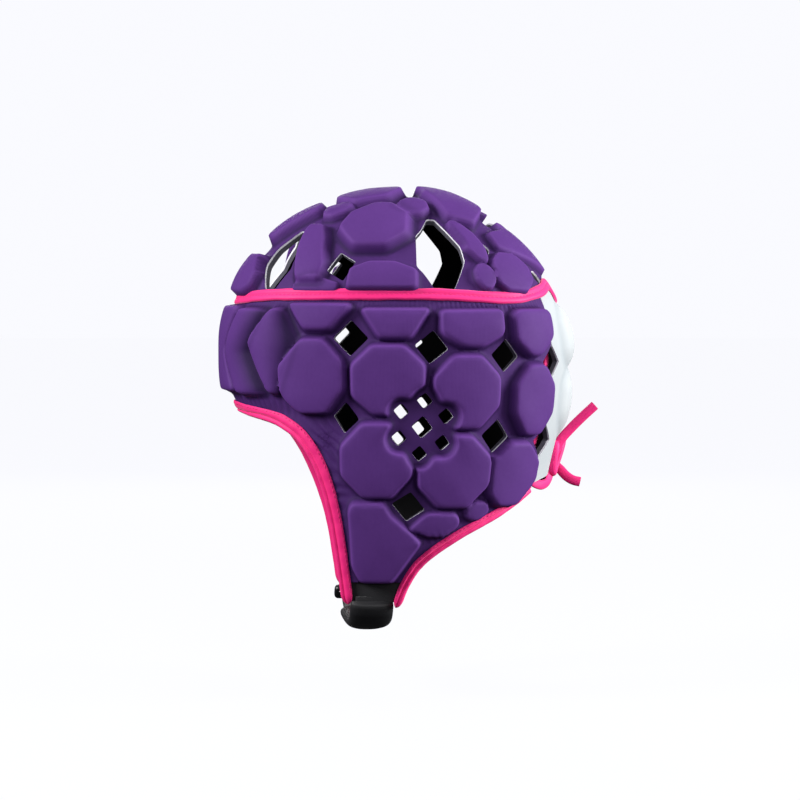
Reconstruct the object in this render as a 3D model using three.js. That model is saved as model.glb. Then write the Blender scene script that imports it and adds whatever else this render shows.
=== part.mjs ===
// Padded head guard for contact sport: crown panel, side band with ear flaps, laced rear panel and
// chin strap.  Millimetres, +Z up, -Y towards the face, +X towards the wearer's left.
// The origin is the inner top of the crown, where the guard sits on the head.
import * as THREE from 'three';

// Head form: the lining is an oval brow section with a dome above it and a tapering wall below it.
const HEAD = {
  station: 8, // y of the widest section
  front: 107.5, // from the station to the forehead
  back: 93, // from the station to the nape
  half: 77, // half the width over the ears
  dome: 90, // from the brow section up to the crown
  ovalPower: 2.2,
  frontPower: 2.15, // fullness of the dome's meridians at the front and sides
  backPower: 1.7, // and at the back
};
const WALL = [ // shrink of the brow section below it
  { z: -265, front: 0.78, back: 0.7, half: 0.77 },
  { z: -200, front: 0.87, back: 0.8, half: 0.9 },
  { z: -160, front: 0.935, back: 0.88, half: 0.965 },
  { z: -127, front: 0.965, back: 0.967, half: 1 },
  { z: -114, front: 0.995, back: 0.984, half: 1 },
  { z: -90, front: 1, back: 1, half: 1 },
];

// Foam laminate
const WEB = 4; // thickness in the grooves between the pads
const RISE = 8; // pads above the grooves
const FLANK = 0.2; // slope of a pad's sides, run for rise
const GAP = 0.3; // between neighbouring pieces
const REACH_PER_DEGREE = 1.65; // crown pattern: radius for each degree down a meridian

// Seam between crown and band, as height by turn from the forehead (0) to the nape (180)
const SEAM = [
  { turn: 0, z: -60 },
  { turn: 45, z: -56.5 },
  { turn: 90, z: -56 },
  { turn: 124, z: -58.5 },
  { turn: 148, z: -55 },
  { turn: 163, z: -51.5 },
  { turn: 180, z: -60 },
];
const SEAM_STEPS = 60;

// Free edges of the band on the wearer's left: u runs round the brow section from the forehead
const FRONT_EDGE = [
  { u: 0, z: -125 },
  { u: 20, z: -126 },
  { u: 47, z: -129.5 },
  { u: 61, z: -135 },
  { u: 72, z: -143.5 },
  { u: 80, z: -157 },
  { u: 85, z: -175 },
  { u: 89, z: -210 },
  { u: 92.5, z: -239 },
];
const REAR_EDGE = [
  { u: 134.5, z: -239 },
  { u: 140, z: -228 },
  { u: 151, z: -214 },
  { u: 176, z: -199 },
  { u: 206, z: -186 },
  { u: 241, z: -169 },
];
const EDGE_STEPS = 20;
const FLAP_END = -227; // where the purple flap stops and the black tab starts
const TAB_END = -236;
const TAB_THICK = 2.6;

// Rear panel between the two rear seams
const REAR_SEAM = 236; // u of the rear seam
const SEAM_MARGIN = 3; // the edge binding stops this far from it
const REAR_BOTTOM = -165; // at the middle of the nape
const REAR_CORNER = -169; // at the rear seam
const REAR_NOTCHES = [ // half of each vent on the seam, cut from both sides
  { z: -143, tall: 20, deep: 10 },
  { z: -96, tall: 20, deep: 9 },
];

// Pads of the band: size, the share cut off each corner, the pull of each side's middle and the taper
const BAND_PADS = [
  { u: 0, z: -89, wide: 52, tall: 48, left: -10, right: -10 },
  { u: 41, z: -89, wide: 22, tall: 48, left: 10, right: -11 },
  { u: 60, z: -88.5, wide: 8, tall: 48, left: 11, right: 7, waist: 7 },
  { u: 87.5, z: -69.5, wide: 37, tall: 15, taper: 0.45 },
  { u: 132, z: -72, wide: 40, tall: 17, taper: 0.5 },
  { u: 178.5, z: -76.5, wide: 38, tall: 22, cuts: [0, 0, 0.4, 0.4] },
  { u: 216.5, z: -78, wide: 30, tall: 24, cuts: [0.1, 0.2, 0.35, 0.35] },
  { u: 85, z: -104.5, wide: 34, tall: 43, cuts: [0.4, 0.3, 0.3, 0.3] },
  { u: 128, z: -106.5, wide: 42, tall: 41, cuts: [0.28, 0.28, 0.28, 0.28], scoop: true },
  { u: 173, z: -112.5, wide: 42, tall: 43, cuts: [0.3, 0.3, 0.3, 0.3], scoop: true },
  { u: 215.5, z: -117.5, wide: 33, tall: 42, cuts: [0.3, 0.3, 0.3, 0.3] },
  { u: 120, z: -154, wide: 42, tall: 44, cuts: [0.32, 0.32, 0.32, 0.32], scoop: true },
  { u: 168, z: -159.5, wide: 45, tall: 42, cuts: [0.32, 0.32, 0.32, 0.32], scoop: true },
  { u: 211, z: -158.5, wide: 33, tall: 33, cuts: [0.25, 0.3, 0.4, 0.2] },
  { u: 113, z: -201, wide: 26, tall: 45, right: 18, cuts: [0.15, 0.1, 0, 0.2] },
  { u: 161.5, z: -191, wide: 23, tall: 12, cuts: [0.1, 0.2, 0.45, 0.1], rise: 6 },
  { u: 187, z: -182, wide: 15, tall: 9, cuts: [0.4, 0.2, 0.4, 0.2], rise: 4.5 },
];
const BAND_VENTS = [
  { u: 106, z: -81, wide: 21, tall: 21 },
  { u: 153.3, z: -86.2, wide: 20, tall: 20, roll: -7 },
  { u: 198, z: -91.5, wide: 18, tall: 20, roll: -4 },
  { u: 101.2, z: -128, wide: 16, tall: 19, roll: -8 },
  { u: 194.6, z: -139.2, wide: 19, tall: 20, roll: -3 },
  { u: 139.3, z: -181, wide: 22, tall: 18, roll: -10 },
];
const EAR = {
  u: 147.7, // middle of the vents over the ear
  z: -133.5,
  vent: 13.5, // middle vent, corner to corner
  small: 10, // vents of the ring
  count: 6,
  ring: 15.7, // radius of the ring
  start: 84, // turn of the first vent of the ring
  roll: -6,
  clear: 24, // pads keep this far from the middle
};
const SCOOP_STEP = 6; // shortest edge of a pad that is scooped out round the ear
const REAR_PADS = [
  { u: 0, z: -81, wide: 62, tall: 33, cuts: [0.25, 0.25, 0.18, 0.18], rise: 6 },
  { u: 0, z: -121.5, wide: 60, tall: 37, cuts: [0.18, 0.18, 0.3, 0.3], rise: 6 },
];

// Pads and vents of the crown: by turn and reach down from the top, wide in degrees, or, on the middle
// line, by side and back from the top
const CROWN_PADS = [
  { side: 0, back: -100.5, wide: 76, tall: 21, cuts: [0.15, 0.15, 0.25, 0.25] },
  { side: 0, back: -62, wide: 44, tall: 34, cuts: [0.15, 0.15, 0.25, 0.25] },
  { side: 0, back: -20.5, wide: 58, tall: 29, cuts: [0.25, 0.25, 0.25, 0.25] },
  { side: 0, back: 23, wide: 104, tall: 38, cuts: [0.25, 0.25, 0.3, 0.3] },
  { turn: 180, reach: 74, wide: 104, tall: 23, cuts: [0.2, 0.2, 0.35, 0.35], rise: 5 },
  { turn: 47.5, reach: 83.5, wide: 13, tall: 37, lean: 12, cuts: [0.25, 0.3, 0.3, 0.3] },
  { turn: 55, reach: 107, wide: 17, tall: 5.5, cuts: [0.4, 0.4, 0, 0], rise: 3 },
  { turn: 68, reach: 65.5, wide: 36, tall: 51, cuts: [0.3, 0.3, 0.25, 0.4] },
  { turn: 77.5, reach: 101.5, wide: 22, tall: 16, cuts: [0.3, 0.3, 0, 0], rise: 7 },
  { turn: 38.5, reach: 52, wide: 17, tall: 15, cuts: [0.3, 0.3, 0.3, 0.3], rise: 6 },
  { turn: 92, reach: 44.5, wide: 15, tall: 17, cuts: [0.3, 0.3, 0.3, 0.3], rise: 6 },
  { turn: 111.7, reach: 78, wide: 8, tall: 29, lean: 8, cuts: [0.2, 0.35, 0.2, 0.35], rise: 6 },
  { turn: 113.5, reach: 101.5, wide: 8, tall: 14, cuts: [0.3, 0.3, 0.3, 0.3], rise: 5 },
  { turn: 131.5, reach: 96.5, wide: 22, tall: 17, cuts: [0.25, 0.3, 0.35, 0.2], rise: 5 },
];
const CROWN_VENTS = [
  { turn: 29, reach: 90, wide: 15, tall: 42, lean: 6, cuts: [0.32, 0.3, 0.3, 0.32] },
  { turn: 62, reach: 96, wide: 7.5, tall: 18, lean: 2 },
  { turn: 97.7, reach: 83, wide: 17.5, tall: 56, cuts: [0.3, 0.45, 0.38, 0.28] },
  { turn: 120.5, reach: 80, wide: 4.5, tall: 9 },
  { turn: 156, reach: 94.5, wide: 12, tall: 9, cuts: [0.3, 0.3, 0.3, 0.3] },
  { turn: 180, reach: 54.5, wide: 50, tall: 8, cuts: [0.3, 0.3, 0.3, 0.3] },
];
const DIAMOND = [0.5, 0.5, 0.5, 0.5];
const SQUARE = [0, 0, 0, 0];
const EDGE_STRETCH = 14; // longest straight step along a pad's outline
const EDGE_BOW = 0.03; // how far an edge bows out, as a share of its length

// Tape folded over the free edges, and tape laid on the crown seam
const FOLD = {
  thick: 1.5,
  thin: 1.05, // at the ends of the legs
  frontLeg: 6.5, // how far it lies on the panel
  rearLeg: 4,
  lining: 0.8, // room on the lining side
  shoulder: 0.5, // where the outer face starts to turn
  round: 0.7, // rounding of the fold
};
const SEAM_TAPE = { half: 3.2, flat: 1.76, thick: 2.2, thin: 1.1, steps: 72 };

// Lace up the inside of the rear panel and down again, out under its bottom edge and knotted: u from the
// middle of the nape, height, and lift off the lining.  The loop is the same on both sides.
const LACE_WIDE = 4;
const LACE_SIDES = 8;
const LACE_STEPS = 78;
const LACE_LONG_TAIL = [
  { u: -4, z: -124, lift: 26 },
  { u: -4, z: -131, lift: 20 },
  { u: -4, z: -138, lift: 14.5 },
  { u: -4.5, z: -145, lift: 9.5 },
  { u: -5, z: -153, lift: 7.5 },
  { u: -5.5, z: -161, lift: 7.5 },
  { u: -7, z: -168, lift: 8 },
];
const LACE_LOOP = [
  { u: 11, z: -173.5, lift: 6 },
  { u: 19, z: -176.5, lift: 1.5 },
  { u: 28, z: -173.5, lift: -4.2 },
  { u: 36, z: -162, lift: -6 },
  { u: 40, z: -147, lift: -4.6 },
  { u: 41, z: -130, lift: -4.2 },
  { u: 41, z: -110, lift: -4.2 },
  { u: 40, z: -92, lift: -4.2 },
  { u: 35, z: -78, lift: -4.2 },
  { u: 22, z: -71, lift: -4.2 },
];
const LACE_TOP = { u: 0, z: -69.5, lift: -4.2 };
const LACE_SHORT_TAIL = [
  { u: 5, z: -167, lift: 8.5 },
  { u: 2.5, z: -160, lift: 11.5 },
  { u: 1.5, z: -160, lift: 16.5 },
  { u: 1, z: -166, lift: 21 },
  { u: 0, z: -171, lift: 25.5 },
];

// Chin strap, pad and loop
const STRAP = { wide: 20, thick: 2.4, u: 115, drop: 20.5, bend: 2.7, steps: 28 };
const PAD = { wide: 28, thick: 10, from: 0.06, to: 0.62, corner: 3, slot: 0.6, steps: 18 };
const LOOP = { wide: 29, tall: 10.6, bar: 3.2, deep: 4.5, at: 0.935 };

const FINISH = {
  purple: { color: '#5a3088', roughness: 0.6 },
  white: { color: '#e6ebee', roughness: 0.55 },
  pink: { color: '#f43295', roughness: 0.55 },
  black: { color: '#15151a', roughness: 0.7 },
  moulded: { color: '#1b1b20', roughness: 0.35 },
};

const FULL_TURN = 360;
const HALF_TURN = 180;
const FORE_AFT = new THREE.Vector3(0, 1, 0);
const radians = THREE.MathUtils.degToRad;
const distance = ([a, b], [c, d]) => Math.hypot(c - a, d - b);
const signedPower = (value, power) => Math.sign(value) * Math.abs(value) ** power;

/** Monotone curve through a table's rows: column `of` against column `along`. */
function follow(rows, along, of) {
  const x = rows.map((row) => row[along]);
  const y = rows.map((row) => row[of]);
  const rise = x.slice(1).map((value, i) => (y[i + 1] - y[i]) / (value - x[i]));
  const slope = x.map((_, i) => {
    if (i === 0) return rise[0];
    if (i === x.length - 1) return rise[i - 1];
    if (rise[i - 1] * rise[i] <= 0) return 0;
    return (2 * rise[i - 1] * rise[i]) / (rise[i - 1] + rise[i]);
  });
  return (at) => {
    const value = THREE.MathUtils.clamp(at, x[0], x[x.length - 1]);
    let i = 0;
    while (i < x.length - 2 && value > x[i + 1]) i += 1;
    const span = x[i + 1] - x[i];
    const t = (value - x[i]) / span;
    const back = 1 - t;
    return (1 + 2 * t) * back * back * y[i] + t * back * back * span * slope[i]
      + t * t * (3 - 2 * t) * y[i + 1] - t * t * back * span * slope[i + 1];
  };
}

const shrinkFront = follow(WALL, 'z', 'front');
const shrinkBack = follow(WALL, 'z', 'back');
const shrinkHalf = follow(WALL, 'z', 'half');
const seamHalf = follow(SEAM, 'turn', 'z');
const seamHeight = (turn) => seamHalf(Math.abs(((turn + FULL_TURN + HALF_TURN) % FULL_TURN) - HALF_TURN));

/** Fullness of the dome's meridian at a turn. */
function meridianPower(turn) {
  const facing = Math.cos(radians(turn));
  const end = facing > 0 ? HEAD.frontPower : HEAD.backPower;
  return HEAD.frontPower + (end - HEAD.frontPower) * facing * facing;
}

/** Lining point at a turn and height, given the shrink of each side of the brow section. */
function onSection(turn, z, front, back, half) {
  const cos = signedPower(Math.cos(radians(turn)), 2 / HEAD.ovalPower);
  const sin = signedPower(Math.sin(radians(turn)), 2 / HEAD.ovalPower);
  const depth = cos > 0 ? HEAD.front * front : HEAD.back * back;
  return new THREE.Vector3(HEAD.half * half * sin, HEAD.station - depth * cos, z);
}

/** Lining point of the band at a turn and height. */
function wallPoint(turn, z) {
  if (z <= -HEAD.dome) return onSection(turn, z, shrinkFront(z), shrinkBack(z), shrinkHalf(z));
  const power = meridianPower(turn);
  const shrink = (1 - ((z + HEAD.dome) / HEAD.dome) ** power) ** (1 / power);
  return onSection(turn, z, shrink, shrink, shrink);
}

/** Lining point of the crown at a turn and an angle down from the top. */
function domePoint(turn, down) {
  const power = meridianPower(turn);
  const shrink = Math.sin(radians(down)) ** (2 / power);
  const z = HEAD.dome * Math.cos(radians(down)) ** (2 / power) - HEAD.dome;
  return onSection(turn, z, shrink, shrink, shrink);
}

/** Arc length round the brow section for each degree of turn, and its inverse. */
const girth = [0];
for (let turn = 1; turn <= HALF_TURN; turn += 1) {
  const step = wallPoint(turn, -HEAD.dome).distanceTo(wallPoint(turn - 1, -HEAD.dome));
  girth.push(girth[turn - 1] + step);
}
const HALF_GIRTH = girth[HALF_TURN];
function turnAt(u) {
  if (u < 0) return -turnAt(-u);
  if (u > HALF_GIRTH) return FULL_TURN - turnAt(2 * HALF_GIRTH - u);
  let turn = 1;
  while (turn < HALF_TURN && girth[turn] < u) turn += 1;
  return turn - (girth[turn] - u) / (girth[turn] - girth[turn - 1]);
}

/** Point at a lift above the lining, from any pattern-to-lining function. */
function lifted(lining, a, b, lift) {
  const step = 0.2;
  const across = lining(a + step, b).sub(lining(a - step, b));
  const up = lining(a, b + step).sub(lining(a, b - step));
  return lining(a, b).addScaledVector(across.cross(up).normalize(), lift);
}
const bandLining = (u, z) => wallPoint(turnAt(u), z);
const onBand = ([u, z], lift) => lifted(bandLining, u, z, lift);
const rearLining = (u, z) => wallPoint(turnAt(HALF_GIRTH + u), z);
const onRear = ([u, z], lift) => lifted(rearLining, u, z, lift);
function crownLining(side, back) {
  const turn = THREE.MathUtils.radToDeg(Math.atan2(side, -back));
  return domePoint(turn, Math.max(Math.hypot(side, back), 1e-3) / REACH_PER_DEGREE);
}
const onCrown = ([side, back], lift) => lifted(crownLining, side, back, lift);

/** Crown pattern point from turn and reach. */
const polar = (turn, reach) => [reach * Math.sin(radians(turn)), -reach * Math.cos(radians(turn))];

/** Reach of the seam on the crown pattern at a turn. */
function seamReach(turn) {
  const cos = ((seamHeight(turn) + HEAD.dome) / HEAD.dome) ** (meridianPower(turn) / 2);
  return THREE.MathUtils.radToDeg(Math.acos(cos)) * REACH_PER_DEGREE;
}

/** Outline of a pad or vent about its middle, counter-clockwise, from a table row. */
function outline(row, cuts) {
  const { wide, tall, left = 0, right = 0, waist = 0, taper = 1, lean = 0, roll = 0 } = row;
  const [topLeft, topRight, bottomRight, bottomLeft] = row.cuts ?? cuts;
  const corner = (x, y, cut, first) => {
    if (cut === 0) return [[x, y]];
    const along = [x, y * (1 - 2 * cut)];
    const across = [x * (1 - 2 * cut), y];
    return first ? [along, across] : [across, along];
  };
  const x = wide / 2;
  const y = tall / 2;
  const ring = [
    ...corner(-x, y, topLeft, false),
    ...(left === 0 ? [] : [[-x - left, waist]]),
    ...corner(-x, -y, bottomLeft, true),
    ...corner(x, -y, bottomRight, false),
    ...(right === 0 ? [] : [[x + right, waist]]),
    ...corner(x, y, topRight, true),
  ];
  const turn = radians(roll);
  return ring.map(([a, b]) => {
    const fallen = (y - b) / tall;
    const skewed = a * (1 + (taper - 1) * fallen) + lean * (fallen - 0.5);
    return [
      skewed * Math.cos(turn) - b * Math.sin(turn),
      skewed * Math.sin(turn) + b * Math.cos(turn),
    ];
  }).filter((point, i, all) => distance(point, all[(i + 1) % all.length]) > GAP);
}

/** Outline with long edges broken up, so that they follow the head form, and bowed out a little. */
function stepped(ring, stretch) {
  return ring.flatMap((point, i) => {
    const next = ring[(i + 1) % ring.length];
    const across = next[0] - point[0];
    const up = next[1] - point[1];
    const count = Math.ceil(Math.hypot(across, up) / stretch);
    return Array.from({ length: count }, (_, k) => {
      const t = k / count;
      const bow = 4 * t * (1 - t) * EDGE_BOW;
      return [point[0] + across * t + up * bow, point[1] + up * t - across * bow];
    });
  });
}

const mirrored = (ring) => ring.map(([a, b]) => [-a, b]).reverse();

/** Band outline at its place, with the corner next to the ear scooped out round the ear's vents. */
function onBandPattern(row, cuts) {
  const ring = stepped(outline(row, cuts).map(([a, b]) => [row.u + a, row.z + b]), EDGE_STRETCH);
  if (!row.scoop) return ring;
  const scooped = ring.map(([u, z]) => {
    const off = Math.hypot(u - EAR.u, z - EAR.z);
    if (off >= EAR.clear) return [u, z];
    return [EAR.u + ((u - EAR.u) * EAR.clear) / off, EAR.z + ((z - EAR.z) * EAR.clear) / off];
  });
  return scooped.filter((point, i) => distance(point, scooped[(i + 1) % scooped.length]) > SCOOP_STEP);
}

/** Crown outline at its place on the flat pattern. */
function onCrownPattern(row, cuts) {
  const ring = stepped(outline(row, cuts), EDGE_STRETCH);
  if (row.turn === undefined) return ring.map(([a, b]) => [row.side + a, row.back + b]);
  return ring.map(([a, b]) => polar(row.turn + a, row.reach - b));
}

/** Rows of a table as outlines with their rise, on both sides unless they straddle the middle line. */
function bothSides(rows, place, cuts) {
  return rows.flatMap((row) => {
    const ring = place(row, cuts);
    const piece = { ring: anticlockwise(ring), rise: row.rise ?? RISE };
    const middle = row.u === 0 || row.side === 0 || row.turn === HALF_TURN;
    return middle ? [piece] : [piece, { ...piece, ring: mirrored(piece.ring) }];
  });
}

/** Ring turned so that it runs counter-clockwise. */
function anticlockwise(ring) {
  const points = ring.map(([a, b]) => new THREE.Vector2(a, b));
  return THREE.ShapeUtils.isClockWise(points) ? ring.slice().reverse() : ring;
}

/** Ring moved inwards by a distance, edge by edge. */
function inset(ring, depth) {
  const count = ring.length;
  const normals = ring.map((point, i) => {
    const next = ring[(i + 1) % count];
    const length = distance(point, next);
    return [(point[1] - next[1]) / length, (next[0] - point[0]) / length];
  });
  return ring.map(([a, b], i) => {
    const before = normals[(i + count - 1) % count];
    const after = normals[i];
    const mix = 1 + before[0] * after[0] + before[1] * after[1];
    return [
      a + (depth * (before[0] + after[0])) / mix,
      b + (depth * (before[1] + after[1])) / mix,
    ];
  });
}

/** Triangles of a ring with holes on the flat pattern, with short diagonals. */
function triangulate(ring, holes) {
  const toVectors = (points) => points.map(([a, b]) => new THREE.Vector2(a, b));
  const faces = THREE.ShapeUtils.triangulateShape(toVectors(ring), holes.map(toVectors));
  const points = [ring, ...holes].flat();
  const area = (a, b, c) => (points[b][0] - points[a][0]) * (points[c][1] - points[a][1])
    - (points[b][1] - points[a][1]) * (points[c][0] - points[a][0]);
  const triangles = faces.map(([a, b, c]) => (area(a, b, c) > 0 ? [a, b, c] : [a, c, b]));
  const fixed = new Set();
  let start = 0;
  for (const loop of [ring, ...holes]) {
    loop.forEach((_, i) => {
      const next = (i + 1) % loop.length;
      fixed.add(edgeKey(start + i, start + next));
    });
    start += loop.length;
  }
  const insideCircle = (a, b, c, d) => {
    const rows = [a, b, c].map((i) => {
      const x = points[i][0] - points[d][0];
      const y = points[i][1] - points[d][1];
      return [x, y, x * x + y * y];
    });
    return rows[0][0] * (rows[1][1] * rows[2][2] - rows[1][2] * rows[2][1])
      - rows[0][1] * (rows[1][0] * rows[2][2] - rows[1][2] * rows[2][0])
      + rows[0][2] * (rows[1][0] * rows[2][1] - rows[1][1] * rows[2][0]) > 1e-6;
  };
  let flipped = true;
  while (flipped) {
    flipped = false;
    const owner = new Map();
    for (let t = 0; t < triangles.length; t += 1) {
      for (let side = 0; side < 3; side += 1) {
        const [a, b, c] = [0, 1, 2].map((k) => triangles[t][(side + k) % 3]);
        const key = edgeKey(a, b);
        if (fixed.has(key)) continue;
        const other = owner.get(key);
        if (other === undefined) {
          owner.set(key, t);
          continue;
        }
        const d = triangles[other].find((corner) => corner !== a && corner !== b);
        if (!triangles[other].includes(a) || !triangles[other].includes(b)) continue;
        if (!insideCircle(a, b, c, d) || area(c, a, d) <= 1e-6 || area(c, d, b) <= 1e-6) continue;
        triangles[t] = [c, a, d];
        triangles[other] = [c, d, b];
        flipped = true;
        break;
      }
    }
  }
  return triangles;
}

const edgeKey = (a, b) => (a < b ? `${a} ${b}` : `${b} ${a}`);

/** Collects vertices and faces of one closed piece. */
class Skin {
  positions = [];

  faces = [];

  /** Adds a ring of points and gives their numbers. */
  ring(points) {
    return points.map((point) => {
      this.positions.push(point.x, point.y, point.z);
      return this.positions.length / 3 - 1;
    });
  }

  /** Joins two rings of equal length with a wall. */
  wall(low, high, closed = true) {
    const count = closed ? low.length : low.length - 1;
    for (let i = 0; i < count; i += 1) {
      const next = (i + 1) % low.length;
      this.faces.push(low[i], low[next], high[next], low[i], high[next], high[i]);
    }
  }

  /** Fills a face from pattern triangles, turned over for an inner side. */
  fill(numbers, triangles, inner = false) {
    for (const [a, b, c] of triangles) {
      const order = inner ? [a, c, b] : [a, b, c];
      this.faces.push(...order.map((corner) => numbers[corner]));
    }
  }

  /** The finished geometry, with its faces pointing out. */
  geometry() {
    const at = (i) => new THREE.Vector3().fromArray(this.positions, 3 * i);
    let volume = 0;
    for (let f = 0; f < this.faces.length; f += 3) {
      volume += at(this.faces[f]).dot(at(this.faces[f + 1]).cross(at(this.faces[f + 2])));
    }
    const geometry = new THREE.BufferGeometry();
    geometry.setAttribute('position', new THREE.Float32BufferAttribute(this.positions, 3));
    geometry.setIndex(volume > 0 ? this.faces : this.faces.slice().reverse());
    geometry.computeVertexNormals();
    return geometry;
  }
}

/** Padded panel: a web with raised pads and vents cut right through it. */
function paddedPanel({ border, pads, vents, place }) {
  const skin = new Skin();
  const holes = [...vents, ...pads.map((pad) => pad.ring)];
  const rings = [border, ...holes];
  const outer = rings.map((ring) => skin.ring(ring.map((point) => place(point, WEB))));
  const inner = rings.map((ring) => skin.ring(ring.map((point) => place(point, 0))));
  const web = triangulate(border, holes);
  skin.fill(outer.flat(), web);
  skin.fill(inner.flat(), web, true);
  skin.wall(inner[0], outer[0]);
  vents.forEach((_, i) => skin.wall(outer[i + 1], inner[i + 1]));
  pads.forEach((pad, i) => {
    const base = i + 1 + vents.length;
    const shoulder = inset(pad.ring, pad.rise * FLANK);
    const top = skin.ring(shoulder.map((point) => place(point, WEB + pad.rise)));
    skin.wall(outer[base], top);
    skin.fill(top, triangulate(shoulder, []));
    skin.fill(inner[base], triangulate(pad.ring, []), true);
  });
  return skin.geometry();
}

/** Solid swept through sections that all have the same points; an inner ring makes it a sleeve. */
function sweep(sections, closed, sleeve = null) {
  const skin = new Skin();
  const rings = sections.map((section) => skin.ring(section));
  const bores = sleeve ? sleeve.map((section) => skin.ring(section)) : null;
  const count = closed ? rings.length : rings.length - 1;
  for (let i = 0; i < count; i += 1) {
    const next = (i + 1) % rings.length;
    skin.wall(rings[i], rings[next]);
    if (bores) skin.wall(bores[next], bores[i]);
  }
  if (closed) return skin.geometry();
  const last = rings.length - 1;
  if (bores) {
    skin.wall(bores[0], rings[0]);
    skin.wall(rings[last], bores[last]);
    return skin.geometry();
  }
  const cap = flatCap(sections[0]);
  skin.fill(rings[0], cap, true);
  skin.fill(rings[last], cap);
  return skin.geometry();
}

/** Triangles that close a section, worked out in the section's own plane. */
function flatCap(section) {
  const normal = new THREE.Vector3();
  section.forEach((point, i) => normal.add(point.clone().cross(section[(i + 1) % section.length])));
  normal.normalize();
  const side = section[1].clone().sub(section[0]).normalize();
  const up = normal.clone().cross(side);
  return triangulate(section.map((point) => [point.dot(side), point.dot(up)]), []);
}

/** Even steps along a smooth pattern line through a table's rows. */
function edgeLine(rows, steps) {
  const curve = new THREE.SplineCurve(rows.map(({ u, z }) => new THREE.Vector2(u, z)));
  return curve.getSpacedPoints(steps).map(({ x, y }) => [x, y]);
}

const frontLine = edgeLine(FRONT_EDGE, EDGE_STEPS);
const rearLine = edgeLine(REAR_EDGE, EDGE_STEPS).filter(([u]) => u < REAR_SEAM - SEAM_MARGIN);

/** Where an edge line crosses a height. */
function atHeight(line, height) {
  const i = line.findIndex(([, z], k) => k > 0 && (z - height) * (line[k - 1][1] - height) <= 0);
  const [a, b] = [line[i - 1], line[i]];
  return [a[0] + ((b[0] - a[0]) * (height - a[1])) / (b[1] - a[1]), height];
}

/** Rear seam of the band or the panel from bottom to top, with a notch for its half of each vent. */
function rearSeamLine(u, top) {
  const notches = REAR_NOTCHES.flatMap(({ z, tall, deep }) => [
    [u, z - tall / 2],
    [u - deep, z],
    [u, z + tall / 2],
  ]);
  return [[u, REAR_CORNER], ...notches, [u, top]];
}

/** Band outline: along the lower edge to the left rear seam, back along the crown seam, mirrored. */
function bandBorder() {
  const flap = (line) => line.filter(([, z]) => z > FLAP_END);
  const front = [...flap(frontLine), atHeight(frontLine, FLAP_END)];
  const rear = [atHeight(rearLine, FLAP_END), ...flap(rearLine)];
  const seamU = REAR_SEAM - GAP;
  const seam = rearSeamLine(seamU, seamHeight(turnAt(seamU)) - GAP);
  const half = [...front, ...rear, ...seam];
  const count = Math.round(SEAM_STEPS * (seamU / HALF_GIRTH));
  const crown = Array.from({ length: count - 1 }, (_, i) => {
    const u = seamU * (1 - (i + 1) / count);
    return [u, seamHeight(turnAt(u)) - GAP];
  });
  const right = half.slice(1).concat(crown).map(([u, z]) => [-u, z]).reverse();
  return [...half, ...crown, [0, seamHeight(0) - GAP], ...right];
}

/** Rear panel outline about the middle of the nape. */
function rearBorder() {
  const half = HALF_GIRTH - REAR_SEAM - GAP;
  const left = rearSeamLine(half, seamHeight(turnAt(REAR_SEAM)) - GAP);
  const steps = 8;
  const arc = (height) => Array.from({ length: steps - 1 }, (_, i) => {
    const u = half * (1 - (2 * (i + 1)) / steps);
    return [u, height(u)];
  });
  const seam = arc((u) => seamHeight(turnAt(HALF_GIRTH + u)) - GAP);
  const right = left.map(([u, z]) => [-u, z]).reverse();
  const arch = REAR_BOTTOM - REAR_CORNER;
  const bottom = arc((u) => REAR_CORNER + arch * (1 - (u / half) ** 2)).reverse();
  return [...left, ...seam, ...right, ...bottom];
}

/** Crown outline on its flat pattern. */
function crownBorder() {
  return Array.from({ length: SEAM_STEPS }, (_, i) => {
    const turn = (FULL_TURN * i) / SEAM_STEPS;
    return polar(turn, seamReach(turn) - GAP);
  });
}

/** Vents round the ear: one large diamond and a ring of small ones. */
function earVents() {
  const ring = Array.from({ length: EAR.count }, (_, i) => {
    const turn = radians(EAR.start - (FULL_TURN * i) / EAR.count);
    const u = EAR.u + EAR.ring * Math.cos(turn);
    return { u, z: EAR.z + EAR.ring * Math.sin(turn), wide: EAR.small, tall: EAR.small, roll: EAR.roll };
  });
  return [{ u: EAR.u, z: EAR.z, wide: EAR.vent, tall: EAR.vent, roll: EAR.roll }, ...ring];
}

/** Tape folded over a free edge, with one leg on the outer face and one on the lining. */
function foldedBinding(line, leg, inward) {
  const { thick, thin, lining, shoulder, round } = FOLD;
  const face = WEB + GAP;
  const profile = [
    [leg, face],
    [leg, face + thin],
    [shoulder, face + thick],
    [-GAP - thick, WEB - round],
    [-GAP - thick, round],
    [shoulder, -lining - thick],
    [leg, -lining - thin],
    [leg, -lining],
    [-GAP, -lining],
    [-GAP, face],
  ];
  return sweep(line.map(([u, z], i) => {
    const before = line[Math.max(i - 1, 0)];
    const after = line[Math.min(i + 1, line.length - 1)];
    const pace = inward / distance(before, after);
    const across = [pace * (before[1] - after[1]), pace * (after[0] - before[0])];
    return profile.map(([s, lift]) => onBand([u + across[0] * s, z + across[1] * s], lift));
  }), false);
}

/** Flat-backed tape over the crown seam. */
function crownBinding() {
  const { half, flat, thick, thin, steps } = SEAM_TAPE;
  const base = WEB + GAP;
  const profile = [
    [-half, base],
    [half, base],
    [half, base + thin],
    [flat, base + thick],
    [-flat, base + thick],
    [-half, base + thin],
  ];
  return sweep(Array.from({ length: steps }, (_, i) => {
    const u = HALF_GIRTH * ((2 * i) / steps - 1);
    const z = seamHeight(turnAt(u));
    return profile.map(([s, lift]) => onBand([u, z + s], lift));
  }), true);
}

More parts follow.
